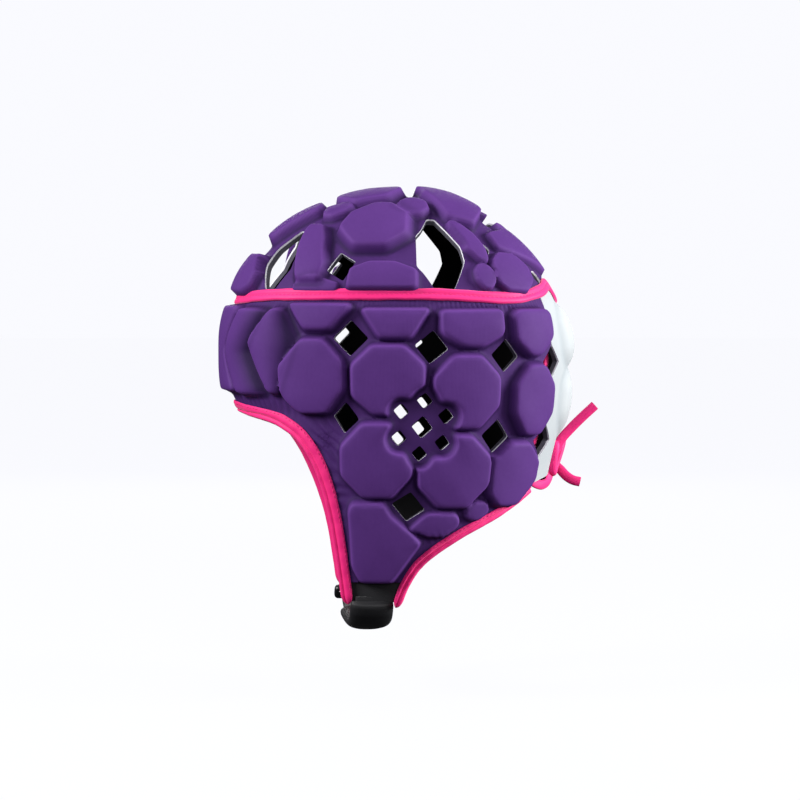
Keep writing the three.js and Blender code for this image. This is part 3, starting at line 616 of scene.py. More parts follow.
@dataclass(frozen=True)
class BandEdges:
    """Free edges of the side band and its rear seams, on the wearer's left."""

    web: float = 4.0
    gap: float = 0.3
    flap_end: float = -227.0
    tab_end: float = -236.0
    rear_seam: float = 236.0
    seam_margin: float = 3.0
    rear_corner: float = -169.0
    rear_bottom: float = -165.0
    notches: tuple[Triple, ...] = ((-143, 20, 10), (-96, 20, 9))  # z, tall, deep
    step: float = 1.2
    crown_step: float = 0.75  # degrees along the crown's border
    front: tuple[Pair, ...] = (
        (0, -125), (20, -126), (47, -129.5), (61, -134.5), (72, -142.5), (81.5, -157), (87.5, -177),
        (91, -210), (93.5, -241),
    )
    rear: tuple[Pair, ...] = (
        (131, -243), (138, -228), (150, -214), (176, -199), (206, -186), (241, -169),
    )

    def front_line(self) -> Array:
        """Face edge from the middle of the forehead to the flap's tip."""
        return smooth_line(np.array(self.front, float), self.step)

    def rear_line(self) -> Array:
        """Rear edge from the flap's tip towards the rear seam."""
        line = smooth_line(np.array(self.rear, float), self.step)
        return line[line[:, 0] < self.rear_seam - self.seam_margin]

    def across(self, z: float) -> Pair:
        """Where the front and rear edges cross a height."""
        front, rear = self.front_line(), self.rear_line()
        first = np.interp(-z, -front[:, 1], front[:, 0])
        return float(first), float(np.interp(z, rear[:, 1], rear[:, 0]))

    def seam_line(self, u: float, top: float) -> Array:
        """Rear seam from bottom to top with a notch for its half of each vent.

        Args:
            u: the seam's place across the pattern.
            top: height of its top.

        Returns:
            Points without the last.
        """
        rows = [(u, self.rear_corner)]
        for z, tall, deep in self.notches:
            rows += [(u, z - tall / 2), (u - deep, z), (u, z + tall / 2)]
        line = np.array([*rows, (u, top)], float)
        return np.vstack([even_steps(line[i:i + 2], self.step)[:-1] for i in range(len(line) - 1)])

    def seam_top(self, u: Array) -> Array:
        """Height of the band's top at the crown seam."""
        return HEAD.seam_height(HEAD.turn_at(u)) - self.gap

    def band_border(self) -> Array:
        """Closed outline of the side band.

        Returns:
            Points in order round the band.
        """
        front, rear = self.front_line(), self.rear_line()
        low, high = self.across(self.flap_end)
        tip = even_steps(np.array([(low, self.flap_end), (high, self.flap_end)]), self.step)
        seam_u = self.rear_seam - self.gap
        top_u = np.linspace(seam_u, 0, int(seam_u / self.step))
        seam = self.seam_line(seam_u, float(self.seam_top(np.array([seam_u]))[0]))
        top = np.stack([top_u, self.seam_top(top_u)], -1)
        front = front[front[:, 1] > self.flap_end]
        rear = rear[rear[:, 1] > self.flap_end]
        half = np.vstack([front, tip, rear, seam, top])
        return np.vstack([half, half[1:-1][::-1] * [-1, 1]])

    def rear_border(self) -> Array:
        """Closed outline of the rear panel.

        Returns:
            Points in order round the panel.
        """
        half = HEAD.half_girth() - self.rear_seam - self.gap
        left = self.seam_line(half, float(self.seam_top(np.array([self.rear_seam]))[0]))
        u = np.linspace(half, -half, int(2 * half / self.step))
        top = np.stack([u, self.seam_top(HEAD.half_girth() + u)], -1)
        arch = (self.rear_bottom - self.rear_corner) * (1 - (u[::-1] / half) ** 2)
        bottom = np.stack([u[::-1], self.rear_corner + arch], -1)
        return np.vstack([left, top, left[::-1] * [-1, 1], bottom[1:-1]])

    def crown_border(self) -> Array:
        """Closed outline of the crown panel."""
        turn = np.arange(0, FULL_TURN, self.crown_step)
        return polar(turn, HEAD.seam_reach(turn) - self.gap)


EDGES = BandEdges()


# Meshes


def outward(points: Array, faces: Faces) -> Faces:
    """Faces turned over if the closed mesh is inside out.

    Args:
        points: vertices.
        faces: vertex numbers of each face.

    Returns:
        The faces, pointing outwards.
    """
    volume = 0.0
    for size in {len(face) for face in faces}:
        index = np.array([face for face in faces if len(face) == size])
        for k in range(1, size - 1):
            a, b, c = points[index[:, 0]], points[index[:, k]], points[index[:, k + 1]]
            volume += np.einsum("ij,ij->", a, np.cross(b, c))
    return faces if volume > 0 else [face[::-1] for face in faces]


def mesh_object(
    name: str,
    points: Array,
    faces: Faces,
    materials: Sequence[bpy.types.Material],
    face_material: Array | None = None,
    pattern: Array | None = None,
    marks: dict[str, Array] | None = None,
    sharp: float = 50.0,
) -> bpy.types.Object:
    """Smooth-shaded object at the origin.

    Args:
        name: the piece's name.
        points: vertices in millimetres.
        faces: vertex numbers of each face.
        materials: the object's materials.
        face_material: material number of each face.
        pattern: flat pattern place of each vertex in millimetres, for the UV map.
        marks: float attributes, one value for each vertex.
        sharp: edges that turn more than this many degrees stay sharp.

    Returns:
        The linked object.
    """
    mesh = bpy.data.meshes.new(name)
    mesh.from_pydata((points * MM).tolist(), [], outward(points, faces))
    for material in materials:
        mesh.materials.append(material)
    if face_material is not None:
        mesh.polygons.foreach_set("material_index", np.asarray(face_material, np.int32))
    if pattern is not None:
        corner = np.empty(len(mesh.loops), np.int32)
        mesh.loops.foreach_get("vertex_index", corner)
        layer = mesh.uv_layers.new(name=PATTERN)
        layer.uv.foreach_set("vector", (pattern[corner] * MM).astype(np.float32).ravel())
    for mark, values in (marks or {}).items():
        mesh.attributes.new(mark, "FLOAT", "POINT").data.foreach_set("value", values.astype(np.float32))
    mesh.polygons.foreach_set("use_smooth", np.ones(len(mesh.polygons), bool))
    mesh.set_sharp_from_angle(angle=math.radians(sharp))
    mesh.update()
    piece = bpy.data.objects.new(name, mesh)
    bpy.context.scene.collection.objects.link(piece)
    return piece


def swept(sections: Array, closed: bool = False) -> tuple[Faces, Array]:
    """Faces of a strip swept through sections.

    Args:
        sections: points, section by section, all with the same count.
        closed: whether the last section meets the first.

    Returns:
        The faces, and the pattern place of each vertex along and round the strip.
    """
    count, size = sections.shape[:2]
    number = np.arange(count * size).reshape(count, size)
    low, high = (number, np.roll(number, -1, axis=0)) if closed else (number[:-1], number[1:])
    faces = [
        (int(a), int(b), int(c), int(d))
        for row, above in zip(low, high)
        for a, b, c, d in zip(row, np.roll(row, -1), np.roll(above, -1), above)
    ]
    if not closed:
        faces += [tuple(number[0, ::-1].tolist()), tuple(number[-1].tolist())]
    along = run_length(sections.mean(axis=1))
    girth = np.linalg.norm(np.diff(sections, axis=1), axis=2).mean(axis=0)
    across = np.concatenate([[0.0], np.cumsum(girth)])
    place = np.stack(np.broadcast_arrays(along[:, None], across[None, :]), -1).reshape(-1, 2)
    return faces, place


def strip_object(
    name: str, sections: Array, material: bpy.types.Material, closed: bool = False,
) -> bpy.types.Object:
    """Object of one material swept through sections.

    Args:
        name: the piece's name.
        sections: points, section by section, in millimetres.
        material: its material.
        closed: whether the last section meets the first.

    Returns:
        The linked object.
    """
    faces, place = swept(sections, closed)
    return mesh_object(name, sections.reshape(-1, 3), faces, [material], pattern=place)


def ride(piece: bpy.types.Object, slot: Slot, *nodes: str) -> bpy.types.Object:
    """Seats a finished piece on the guard, for the solids that it stands for.

    Args:
        piece: the finished piece.
        slot: its material slot, not used.
        nodes: the solids.

    Returns:
        The same piece.
    """
    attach(piece, "root")
    if nodes:
        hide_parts(*nodes)
    LOG.info("%s: %d faces", piece.name, len(piece.data.polygons))
    return piece


# Finishes


class Graph:
    """Small helper that adds nodes to a tree and joins them."""

    def __init__(self, tree: bpy.types.NodeTree) -> None:
        """Keeps the tree."""
        self.tree = tree

    def node(self, kind: str, **settings: object) -> bpy.types.Node:
        """Adds a node with its settings.

        Args:
            kind: the node's type.
            settings: its properties.

        Returns:
            The node.
        """
        made = self.tree.nodes.new(kind)
        for key, value in settings.items():
            setattr(made, key, value)
        return made

    def feed(self, socket: bpy.types.NodeSocket, value: object) -> None:
        """Links a socket to a value's socket, or sets it.

        Args:
            socket: input to feed.
            value: socket or plain value.
        """
        if isinstance(value, bpy.types.NodeSocket):
            self.tree.links.new(value, socket)
        else:
            socket.default_value = value

    def fill(self, node: bpy.types.Node, **values: object) -> bpy.types.Node:
        """Links or sets a node's inputs, named with underscores for spaces."""
        for key, value in values.items():
            self.feed(node.inputs[key.replace("_", " ")], value)
        return node

    def math(self, operation: str, *values: object) -> bpy.types.NodeSocket:
        """Adds a math node.

        Args:
            operation: what it does.
            values: its inputs in order.

        Returns:
            Its output.
        """
        made = self.node("ShaderNodeMath", operation=operation)
        for socket, value in zip(made.inputs, values):
            self.feed(socket, value)
        return made.outputs[0]

    def ramp(self, value: object, low: float, high: float) -> bpy.types.NodeSocket:
        """Maps 0..1 to a range."""
        made = self.fill(self.node("ShaderNodeMapRange"), Value=value, To_Min=low, To_Max=high)
        return made.outputs["Result"]

    def mix(self, share: object, low: object, high: object) -> bpy.types.NodeSocket:
        """Mixes two colours."""
        made = self.fill(self.node("ShaderNodeMix", data_type="RGBA"), Factor=share, A=low, B=high)
        return made.outputs["Result"]

    def split(self, vector: object) -> bpy.types.Node:
        """Adds a node that takes a vector apart."""
        return self.fill(self.node("ShaderNodeSeparateXYZ"), Vector=vector)

    def mark(self, name: str) -> bpy.types.NodeSocket:
        """Value of a piece's own attribute."""
        return self.node("ShaderNodeAttribute", attribute_name=name).outputs["Fac"]

    def pattern(self) -> bpy.types.NodeSocket:
        """Place on the flat pattern."""
        return self.node("ShaderNodeUVMap", uv_map=PATTERN).outputs["UV"]

    def body(self) -> bpy.types.NodeSocket:
        """Place in the shared frame."""
        return self.node("ShaderNodeTexCoord").outputs["Object"]

    def group(self, tree: bpy.types.NodeTree, **values: object) -> bpy.types.NodeSocket:
        """Adds a node group, sets its named inputs and gives its one output."""
        return self.fill(self.node("ShaderNodeGroup", node_tree=tree), **values).outputs[0]


class Socket(Enum):
    """Kinds of socket on the node groups."""

    VECTOR = "NodeSocketVector"
    VALUE = "NodeSocketFloat"
    GEOMETRY = "NodeSocketGeometry"
    MATERIAL = "NodeSocketMaterial"


def new_group(
    name: str, inputs: dict[str, Socket], outputs: dict[str, Socket], kind: str = "ShaderNodeTree",
) -> tuple[Graph, bpy.types.Node, bpy.types.Node]:
    """Starts a node group.

    Args:
        name: the group's name.
        inputs: socket kinds by name.
        outputs: socket kinds by name.
        kind: the tree's type.

    Returns:
        The group's graph, and its input and output nodes.
    """
    tree = bpy.data.node_groups.new(name, kind)
    for way, sockets in (("INPUT", inputs), ("OUTPUT", outputs)):
        for label, socket in sockets.items():
            tree.interface.new_socket(label, in_out=way, socket_type=socket.value)
    graph = Graph(tree)
    return graph, graph.node("NodeGroupInput"), graph.node("NodeGroupOutput")


WOVEN = {"Place": Socket.VECTOR, "Pitch": Socket.VALUE}
RELIEF = {"Height": Socket.VALUE}


def knit_group() -> bpy.types.NodeTree:
    """Fine knit: columns of slanted loops on a flat pattern.

    Returns:
        The node group.
    """
    graph, given, out = new_group("Fine knit", WOVEN, RELIEF)
    apart = graph.split(given.outputs["Place"])
    column = graph.math("DIVIDE", apart.outputs["X"], given.outputs["Pitch"])
    course = graph.math("DIVIDE", apart.outputs["Y"], given.outputs["Pitch"])
    lobe = graph.math("ABSOLUTE", graph.math("SINE", graph.math("MULTIPLY", column, math.pi)))
    slant = graph.math("MULTIPLY_ADD", graph.math("PINGPONG", column, 0.5), 1.2, course)
    loop = graph.math("SINE", graph.math("MULTIPLY", slant, TURN))
    graph.fill(out, Height=graph.math("MULTIPLY", lobe, graph.ramp(loop, 0.55, 1.0)))
    return graph.tree


def rib_group() -> bpy.types.NodeTree:
    """Woven tape: ribs across the strip crossed by finer ones along it.

    Returns:
        The node group.
    """
    graph, given, out = new_group("Tape ribs", WOVEN, RELIEF)
    apart = graph.split(given.outputs["Place"])
    turns = graph.math("DIVIDE", TURN, given.outputs["Pitch"])
    weft = graph.math("SINE", graph.math("MULTIPLY", apart.outputs["X"], turns))
    slower = graph.math("MULTIPLY", turns, 0.6)
    warp = graph.math("SINE", graph.math("MULTIPLY", apart.outputs["Y"], slower))
    graph.fill(out, Height=graph.ramp(graph.math("MULTIPLY", weft, warp), 0.5, 1.0))
    return graph.tree


def mottle_group() -> bpy.types.NodeTree:
    """Soft uneven patches, two sizes of noise on Object coordinates.

    Returns:
        The node group.
    """
    given_sockets = {"Place": Socket.VECTOR, "Scale": Socket.VALUE}
    graph, given, out = new_group("Mottle", given_sockets, {"Value": Socket.VALUE})
    patches = []
    for factor in (1.0, 9.0):
        scale = graph.math("MULTIPLY", given.outputs["Scale"], factor)
        noise = graph.node("ShaderNodeTexNoise")
        graph.fill(noise, Vector=given.outputs["Place"], Scale=scale, Detail=3.0)
        patches.append(noise.outputs["Fac"])
    coarse, fine = patches
    total = graph.math("MULTIPLY_ADD", fine, 0.5, coarse)
    graph.fill(out, Value=graph.math("DIVIDE", total, 1.5))
    return graph.tree


def srgb(red: int, green: int, blue: int) -> Tint:
    """Linear colour from eight-bit sRGB."""
    share = np.array([red, green, blue]) / 255
    linear = np.where(share <= 0.04045, share / 12.92, ((share + 0.055) / 1.055) ** 2.4)
    return (*linear.tolist(), 1.0)


@dataclass
class Groups:
    """Shader node groups that the finishes share."""

    knit: bpy.types.NodeTree = field(default_factory=knit_group)
    rib: bpy.types.NodeTree = field(default_factory=rib_group)
    mottle: bpy.types.NodeTree = field(default_factory=mottle_group)


def start_material(name: str) -> tuple[bpy.types.Material, Graph, bpy.types.Node]:
    """New material with only its shader and output.

    Args:
        name: the material's name.

    Returns:
        The material, its graph and its Principled BSDF.
    """
    material = bpy.data.materials.new(name)
    material.use_nodes = True
    graph = Graph(material.node_tree)
    shader = next(n for n in graph.tree.nodes if n.type == "BSDF_PRINCIPLED")
    return material, graph, shader


def attach_bump(
    graph: Graph, shader: bpy.types.Node, height: object, depth: float, strength: float,
) -> None:
    """Feeds a height into the shader's normal.

    Args:
        graph: the material's graph.
        shader: its Principled BSDF.
        height: socket with the height from 0 to 1.
        depth: real depth in millimetres.
        strength: share of the bump that shows.
    """
    bump = graph.node("ShaderNodeBump")
    graph.fill(bump, Distance=depth * MM, Strength=strength, Height=height)
    graph.fill(shader, Normal=bump.outputs["Normal"])


@dataclass(frozen=True)
class KnitFinish:
    """Stretch knit bonded to foam, with a painted highlight along the blocks' shoulders and painted shade in
    the grooves.
    """

    name: str
    colour: Tint
    # colour of the painted shade in the grooves, at block sides and on falling tops, also of the uneven
    # patches and of the painted shade in the knit's pits
    deep: Tint
    # colour of the painted highlight along the blocks' shoulders, also the sheen's tint
    pale: Tint
    sheen: float = 0.03
    pitch: float = 0.75
    depth: float = 0.09
    pucker: float = 2.7  # spacing of the fine gathers
    pucker_height: float = 5.0  # and their height, as a multiple of the knit's
    pucker_wander: float = 9.0
    patch: float = 45.0  # scale of the uneven patches
    painted_shade_tone: float = 0.9
    painted_highlight_tone: float = 0.55
    patch_tone: float = 0.28
    knit_pit_shade: float = 0.16
    low_gloss: float = 0.6
    high_gloss: float = 0.82

    def material(self, groups: Groups) -> bpy.types.Material:
        """Builds the material.

        Args:
            groups: the shared node groups.

        Returns:
            The material.
        """
        material, graph, shader = start_material(self.name)
        place = graph.pattern()
        knit = graph.group(groups.knit, Place=place, Pitch=self.pitch * MM)
        mottle = graph.group(groups.mottle, Place=graph.body(), Scale=self.patch)
        # painted shade: darker colour in the grooves, at block sides and on falling tops
        depth = graph.math("MULTIPLY", graph.mark(PAINTED_SHADE), self.painted_shade_tone)
        # painted highlight: paler colour along the blocks' shoulders
        gain = graph.math("MULTIPLY", graph.mark(PAINTED_HIGHLIGHT), self.painted_highlight_tone)
        tone = graph.mix(gain, graph.mix(depth, self.colour, self.deep), self.pale)
        tone = graph.mix(graph.ramp(mottle, 0.0, self.patch_tone), tone, self.deep)
        # painted shade in the knit's pits, following the knit's height
        tone = graph.mix(graph.ramp(knit, self.knit_pit_shade, 0.0), tone, self.deep)
        graph.fill(
            shader, Base_Color=tone, Roughness=graph.ramp(mottle, self.low_gloss, self.high_gloss),
            Specular_IOR_Level=0.16, Sheen_Weight=self.sheen, Sheen_Roughness=0.45, Sheen_Tint=self.pale,
        )
        wander = graph.math("MULTIPLY", mottle, self.pucker_wander)
        across = graph.split(place).outputs["X"]
        wave = graph.math("MULTIPLY_ADD", across, TURN / (self.pucker * MM), wander)
        folds = graph.math("MULTIPLY", graph.math("SINE", wave), graph.mark(PUCKER))
        height = graph.math("MULTIPLY_ADD", folds, self.pucker_height, knit)
        attach_bump(graph, shader, height, self.depth, 0.4)
        return material


@dataclass(frozen=True)
class TapeFinish:
    """Woven tape, lace or webbing with its ribs."""

    name: str
    colour: Tint
    deep: Tint
    pitch: float
    depth: float
    low_gloss: float = 0.5
    high_gloss: float = 0.7
    sheen: float = 0.15
    patch: float = 70.0
    patch_tone: float = 0.35
    rib_tone: float = 0.4

    def material(self, groups: Groups) -> bpy.types.Material:
        """Builds the material.

        Args:
            groups: the shared node groups.

        Returns:
            The material.
        """
        material, graph, shader = start_material(self.name)
        rib = graph.group(groups.rib, Place=graph.pattern(), Pitch=self.pitch * MM)
        mottle = graph.group(groups.mottle, Place=graph.body(), Scale=self.patch)
        tone = graph.mix(graph.ramp(mottle, 0.0, self.patch_tone), self.colour, self.deep)
        tone = graph.mix(graph.ramp(rib, self.rib_tone, 0.0), tone, self.deep)
        graph.fill(
            shader, Base_Color=tone, Roughness=graph.ramp(mottle, self.low_gloss, self.high_gloss),
            Specular_IOR_Level=0.35, Sheen_Weight=self.sheen,
        )
        attach_bump(graph, shader, rib, self.depth, 0.5)
        return material


@dataclass(frozen=True)
class GrainFinish:
    """Foam, lining, neoprene or moulded plastic with a fine grain."""

    name: str
    colour: Tint
    deep: Tint
    grain: float
    depth: float
    low_gloss: float
    high_gloss: float
    specular: float = 0.4
    patch: float = 60.0

    def material(self, groups: Groups) -> bpy.types.Material:
        """Builds the material.

        Args:
            groups: the shared node groups.

        Returns:
            The material.
        """
        material, graph, shader = start_material(self.name)
        body = graph.body()
        mottle = graph.group(groups.mottle, Place=body, Scale=self.patch)
        grain = graph.fill(graph.node("ShaderNodeTexNoise"), Vector=body, Scale=self.grain, Detail=4.0)
        graph.fill(
            shader, Base_Color=graph.mix(mottle, self.colour, self.deep),
            Roughness=graph.ramp(mottle, self.low_gloss, self.high_gloss), Specular_IOR_Level=self.specular,
        )
        attach_bump(graph, shader, grain.outputs["Fac"], self.depth, 0.5)
        return material


FINISHES = {
    "purple": KnitFinish("purple_knit", srgb(86, 46, 122), srgb(24, 6, 48), srgb(108, 64, 146)),
    "white": KnitFinish("white_knit", srgb(180, 184, 186), srgb(158, 165, 169), srgb(186, 190, 192)),
    "pink": TapeFinish("pink_tape", srgb(236, 22, 124), srgb(208, 8, 94), 0.9, 0.12),
    "thread": TapeFinish("pink_thread", srgb(226, 18, 116), srgb(190, 8, 92), 0.5, 0.05),
    "webbing": TapeFinish("black_webbing", srgb(24, 24, 29), srgb(10, 10, 13), 1.3, 0.2, 0.55, 0.8),
    "lining": GrainFinish("black_lining", srgb(13, 13, 16), srgb(5, 5, 7), 2500, 0.1, 0.8, 0.95, 0.15),
    "rim": GrainFinish("cut_rim", srgb(244, 243, 248), srgb(212, 210, 220), 1800, 0.1, 0.7, 0.9),
    "neoprene": GrainFinish("black_neoprene", srgb(26, 26, 30), srgb(14, 14, 17), 1600, 0.12, 0.5, 0.72),
    "foam": GrainFinish("cut_foam", srgb(96, 94, 104), srgb(58, 57, 66), 1800, 0.1, 0.75, 0.95, 0.2),
    "plastic": GrainFinish(
        "moulded_plastic", srgb(30, 30, 34), srgb(18, 18, 21), 900, 0.03, 0.26, 0.4, 0.5,
    ),
}


@dataclass
class Wardrobe:
    """Every material of the guard."""

    purple: bpy.types.Material = field(init=False)
    white: bpy.types.Material = field(init=False)
    pink: bpy.types.Material = field(init=False)
    thread: bpy.types.Material = field(init=False)
    webbing: bpy.types.Material = field(init=False)
    lining: bpy.types.Material = field(init=False)
    rim: bpy.types.Material = field(init=False)
    neoprene: bpy.types.Material = field(init=False)
    foam: bpy.types.Material = field(init=False)
    plastic: bpy.types.Material = field(init=False)

    def __post_init__(self) -> None:
        """Builds the materials once, on shared node groups."""
        groups = Groups()
        for label, finish in FINISHES.items():
            setattr(self, label, finish.material(groups))


# Padded panels


STEEP_RUN = 3.0  # a block's side is steep if it runs out less than this
STEEP_STEPS = (0.0, 0.5, 1.0, 1.5)  # rows of points up a steep side, as shares of its run
SLACK_STEPS = (0.0, 0.33, 0.67, 1.0, 1.3)
SHIFT_ERROR = 0.25  # a shifted outline is dropped where it is off by more
CLOSEST = 0.55  # points keep this share of the spacing apart
SAME_POINT = 1e-6
NO_AREA = 1e-9
PANEL_SHARP = 62.0  # degrees


@dataclass(frozen=True)
class Gather:
    """A patch of small puckers in the covering."""

    a: float
    b: float
    wide: float
    tall: float
    lean: float
    pitch: float
    depth: float

    def height(self, ab: Array) -> Array:
        """How far the covering rises or falls at pattern points.

        Args:
            ab: pattern points.

        Returns:
            One height for each point.
        """
        off = ab - [self.a, self.b]
        patch = np.exp(-((off[:, 0] / self.wide) ** 2) - (off[:, 1] / self.tall) ** 2)
        turn = math.radians(self.lean)
        along = off[:, 0] * math.cos(turn) + off[:, 1] * math.sin(turn)
        wander = 0.9 * np.sin(off[:, 1] / 3.1) + 0.7 * np.sin(off[:, 0] / 5.3)
        return self.depth * patch * np.cos(TURN * along / self.pitch + wander)


@dataclass(frozen=True)
class Top:
    """Outline of a block's top on one side of the guard."""

    ring: Array
    row: Block
    side: int
    levels: int = 24  # heights at which the top's two sides are found
    margin: float = 1.0
    window: float = 1.6

    def run(self) -> float:
        """How far the block's sides run out."""
        return self.row.rise * self.row.flank

    def slope(self, ab: Array) -> Array:
        """Share of the rise that is left at pattern points, less towards the rear side.

        Args:
            ab: pattern points.

        Returns:
            One share for each point.
        """
        if not self.row.trail:
            return np.ones(len(ab))
        ring = self.ring * [self.side, 1]
        levels = np.linspace(ring[:, 1].min() + self.margin, ring[:, 1].max() - self.margin, self.levels)
        spans = [ring[np.abs(ring[:, 1] - level) < self.window, 0] for level in levels]
        lead = np.interp(ab[:, 1], levels, [span.min() for span in spans])
        tail = np.interp(ab[:, 1], levels, [span.max() for span in spans])
        share = np.clip((ab[:, 0] * self.side - lead) / (tail - lead), 0, 1)
        return 1 - self.row.trail * share**3


@dataclass(frozen=True)
class Shading:
    """How the covering's colour follows the blocks: painted highlight on the shoulders, painted shade at the
    sides, in the grooves and on falling tops.
    """

    shoulder_at: float = 0.95  # the painted highlight sits at this share of a side's run
    shoulder_wide: float = 0.9
    side_share: float = 0.45
    side_wide: float = 0.7
    fall_gain: float = 2.0  # how fast the painted shade grows on a falling top
    fall_from: float = 0.4
    floor: float = 0.45  # painted shade on the bare web
    floor_fade: float = 2.0
    side_fade: float = 5.0

    def shoulder(self, away: Array, run: float) -> Array:
        """Painted highlight by closeness to a block's shoulder."""
        return np.exp(-(((away - run * self.shoulder_at) / self.shoulder_wide) ** 2)) * (away > 0)

    def side(self, away: Array, run: float) -> Array:
        """Painted shade at a block's side."""
        return np.exp(-((away / (self.side_share * run + self.side_wide)) ** 2))

    def fall(self, away: Array, run: float, slope: Array) -> Array:
        """Painted shade on a top that falls towards its rear side."""
        return np.clip(self.fall_gain * (1 - slope), 0, 1) * (away > self.fall_from * run)

    def painted_shade(self, side: Array, fall: Array, height: Array) -> Array:
        """Painted shade from all three, fading with the covering's height."""
        floor = self.floor * np.exp(-height / self.floor_fade)
        return np.maximum(np.maximum(floor, side * np.exp(-height / self.side_fade)), fall)


@dataclass
class PaddedPanel:
    """Foam panel: blocks raised on a web, vents cut through, knit outside and lining inside."""

    name: str
    slot: Slot
    chart: Chart
    border: Array
    blocks: Sequence[Block]
    vents: Sequence[Block]
    gathers: Sequence[Gather] = ()
    web: float = EDGES.web
    spacing: float = 1.5
    lining_spacing: float = 4.0
    rim: float = 1.1  # pale cut edge of the covering
    clear: float = 2.2  # blocks fall to the web this far from a vent
    overhang: float = 0.85  # share of a block's side that lies outside its top
    foot: float = 0.8  # rounding at a block's foot
    soft: float = 0.2  # rounding of a block's shoulder, as a share of its side
    crowning: float = 0.08  # share of the rise that comes from the crowned top
    crown_run: float = 10.0
    block_round: float = 1.9
    vent_round: float = 0.7
    border_step: float = 1.3
    vent_step: float = 1.1
    margin: float = 3.0  # a block's foot ends this far outside its sides
    skirt: float = 1.1  # row of points outside a block's foot
    gather_fade: float = 6.0  # height over which the gathers die out
    shading: Shading = Shading()
    middle_turn: float = HALF_TURN

    def both_sides(self, rows: Sequence[Block], round_off: float) -> list[Top]:
        """Outlines on both sides, or on one if a row straddles the middle line.

        Args:
            rows: blocks or vents on the left.
            round_off: how far corners are rounded.

        Returns:
            The outlines.
        """
        made = []
        for row in rows:
            ring = row.outline(round_off)
            made.append(Top(ring, row, 1))
            if row.a not in (0.0, self.middle_turn):
                made.append(Top((ring * [-1, 1])[::-1], row, -1))
        return made

    def room(self, ab: Array, vents: list[Array]) -> Array:
        """Share of a block's height that is left beside the vents.

        Args:
            ab: pattern points.
            vents: outlines of the vents.

        Returns:
            One share for each point.
        """
        room = np.ones(len(ab))
        for ring in vents:
            near = near_ring(ab, ring, self.clear)
            away = np.clip(-signed_distance(ab[near], ring) / self.clear, 0, 1)
            room[near] = np.minimum(room[near], ease(away))
        return room

    def face(self, away: Array, run: float) -> Array:
        """Share of a block's rise at distances in from its foot, with rounded foot and shoulder.

        Args:
            away: distances in from the foot.
            run: how far the side runs out.

        Returns:
            One share for each distance.
        """
        climb = 0.5 * (away + np.sqrt(away**2 + self.foot**2)) / run
        short = 0.5 * (1 - climb + np.sqrt((1 - climb) ** 2 + self.soft**2))
        dome = 1 - np.exp(-np.clip(away - run, 0, None) / self.crown_run)
        return np.clip(1 - short, 0, None) * (1 - self.crowning) + self.crowning * dome

    def relief(self, ab: Array, tops: list[Top], vents: list[Array]) -> tuple[Array, Array, Array]:
        """Height of the covering above the web.

        Args:
            ab: pattern points.
            tops: outlines of the blocks' tops.
            vents: outlines of the vents.

        Returns:
            Height, painted highlight near a shoulder and painted shade in a groove for each point.
        """
        height, shoulder, side, fall = (np.zeros(len(ab)) for _ in range(4))
        room = self.room(ab, vents)
        for top in tops:
            run = top.run()
            near = near_ring(ab, top.ring, run + self.margin)
            if not len(near):
                continue
            away = signed_distance(ab[near], top.ring) + self.overhang * run
            slope = top.slope(ab[near])
            own = top.row.rise * self.face(away, run) * slope
            before = height[near]
            height[near] = np.maximum(before, own if top.row.pierced else own * room[near])
            # painted shade on a top that falls away, unless a later block covers it
            covered = np.clip(1 - (own - before), 0, 1)
            ahead = np.clip(1 - (height[near] - own), 0, 1)
            falling = self.shading.fall(away, run, slope) * ahead
            fall[near] = np.maximum(fall[near] * covered, falling)
            # painted highlight along the shoulder
            shoulder[near] = np.maximum(shoulder[near], self.shading.shoulder(away, run) * slope)
            # painted shade at the block's side
            side[near] = np.maximum(side[near], self.shading.side(away, run))
        painted_shade = self.shading.painted_shade(side, fall, height)
        for gather in self.gathers:
            for sign in (1, -1):
                height += gather.height(ab * [sign, 1]) * np.exp(-height / self.gather_fade)
        return height + unevenness(ab), shoulder, painted_shade

    def puckers(self, ab: Array, below: float = 4.5, wide: float = 4.0) -> Array:
        """Where the covering is finely gathered, a little below the crown seam."""
        off = HEAD.seam_height(HEAD.turn_at(ab[:, 0])) - ab[:, 1] - below
        return np.exp(-((off / wide) ** 2)) if self.gathers else np.zeros(len(ab))

    def scatter(self, loops: list[Array], tops: list[Top], spacing: float) -> Array:
        """Pattern points inside the panel, along the blocks' sides and on a grid between them.

        Args:
            loops: border first, then the vents.
            tops: the blocks' tops.
            spacing: wanted spacing.

        Returns:
            Pattern points.
        """
        wanted = []
        for top in tops:
            ring, run = top.ring, top.run()
            edge = unit(np.roll(ring, -1, axis=0) - np.roll(ring, 1, axis=0))
            inward = np.stack([-edge[:, 1], edge[:, 0]], -1)
            steps = np.array(STEEP_STEPS if run < STEEP_RUN else SLACK_STEPS)
            for depth in (*((steps - self.overhang) * run), -self.overhang * run - self.skirt):
                shifted = even_steps(ring + inward * depth, spacing, closed=True)
                wanted.append(shifted[np.abs(signed_distance(shifted, ring) - depth) < SHIFT_ERROR])
        low, high = loops[0].min(axis=0), loops[0].max(axis=0)
        a = np.arange(low[0], high[0], spacing)
        b = np.arange(low[1], high[1], spacing * math.sqrt(3) / 2)
        grid = np.stack(np.meshgrid(a, b), -1)
        grid[::2, :, 0] += spacing / 2
        wanted.append(grid.reshape(-1, 2))
        points = np.vstack(wanted)
        return thinned(np.vstack(loops), points[on_panel(points, loops)], CLOSEST * spacing)

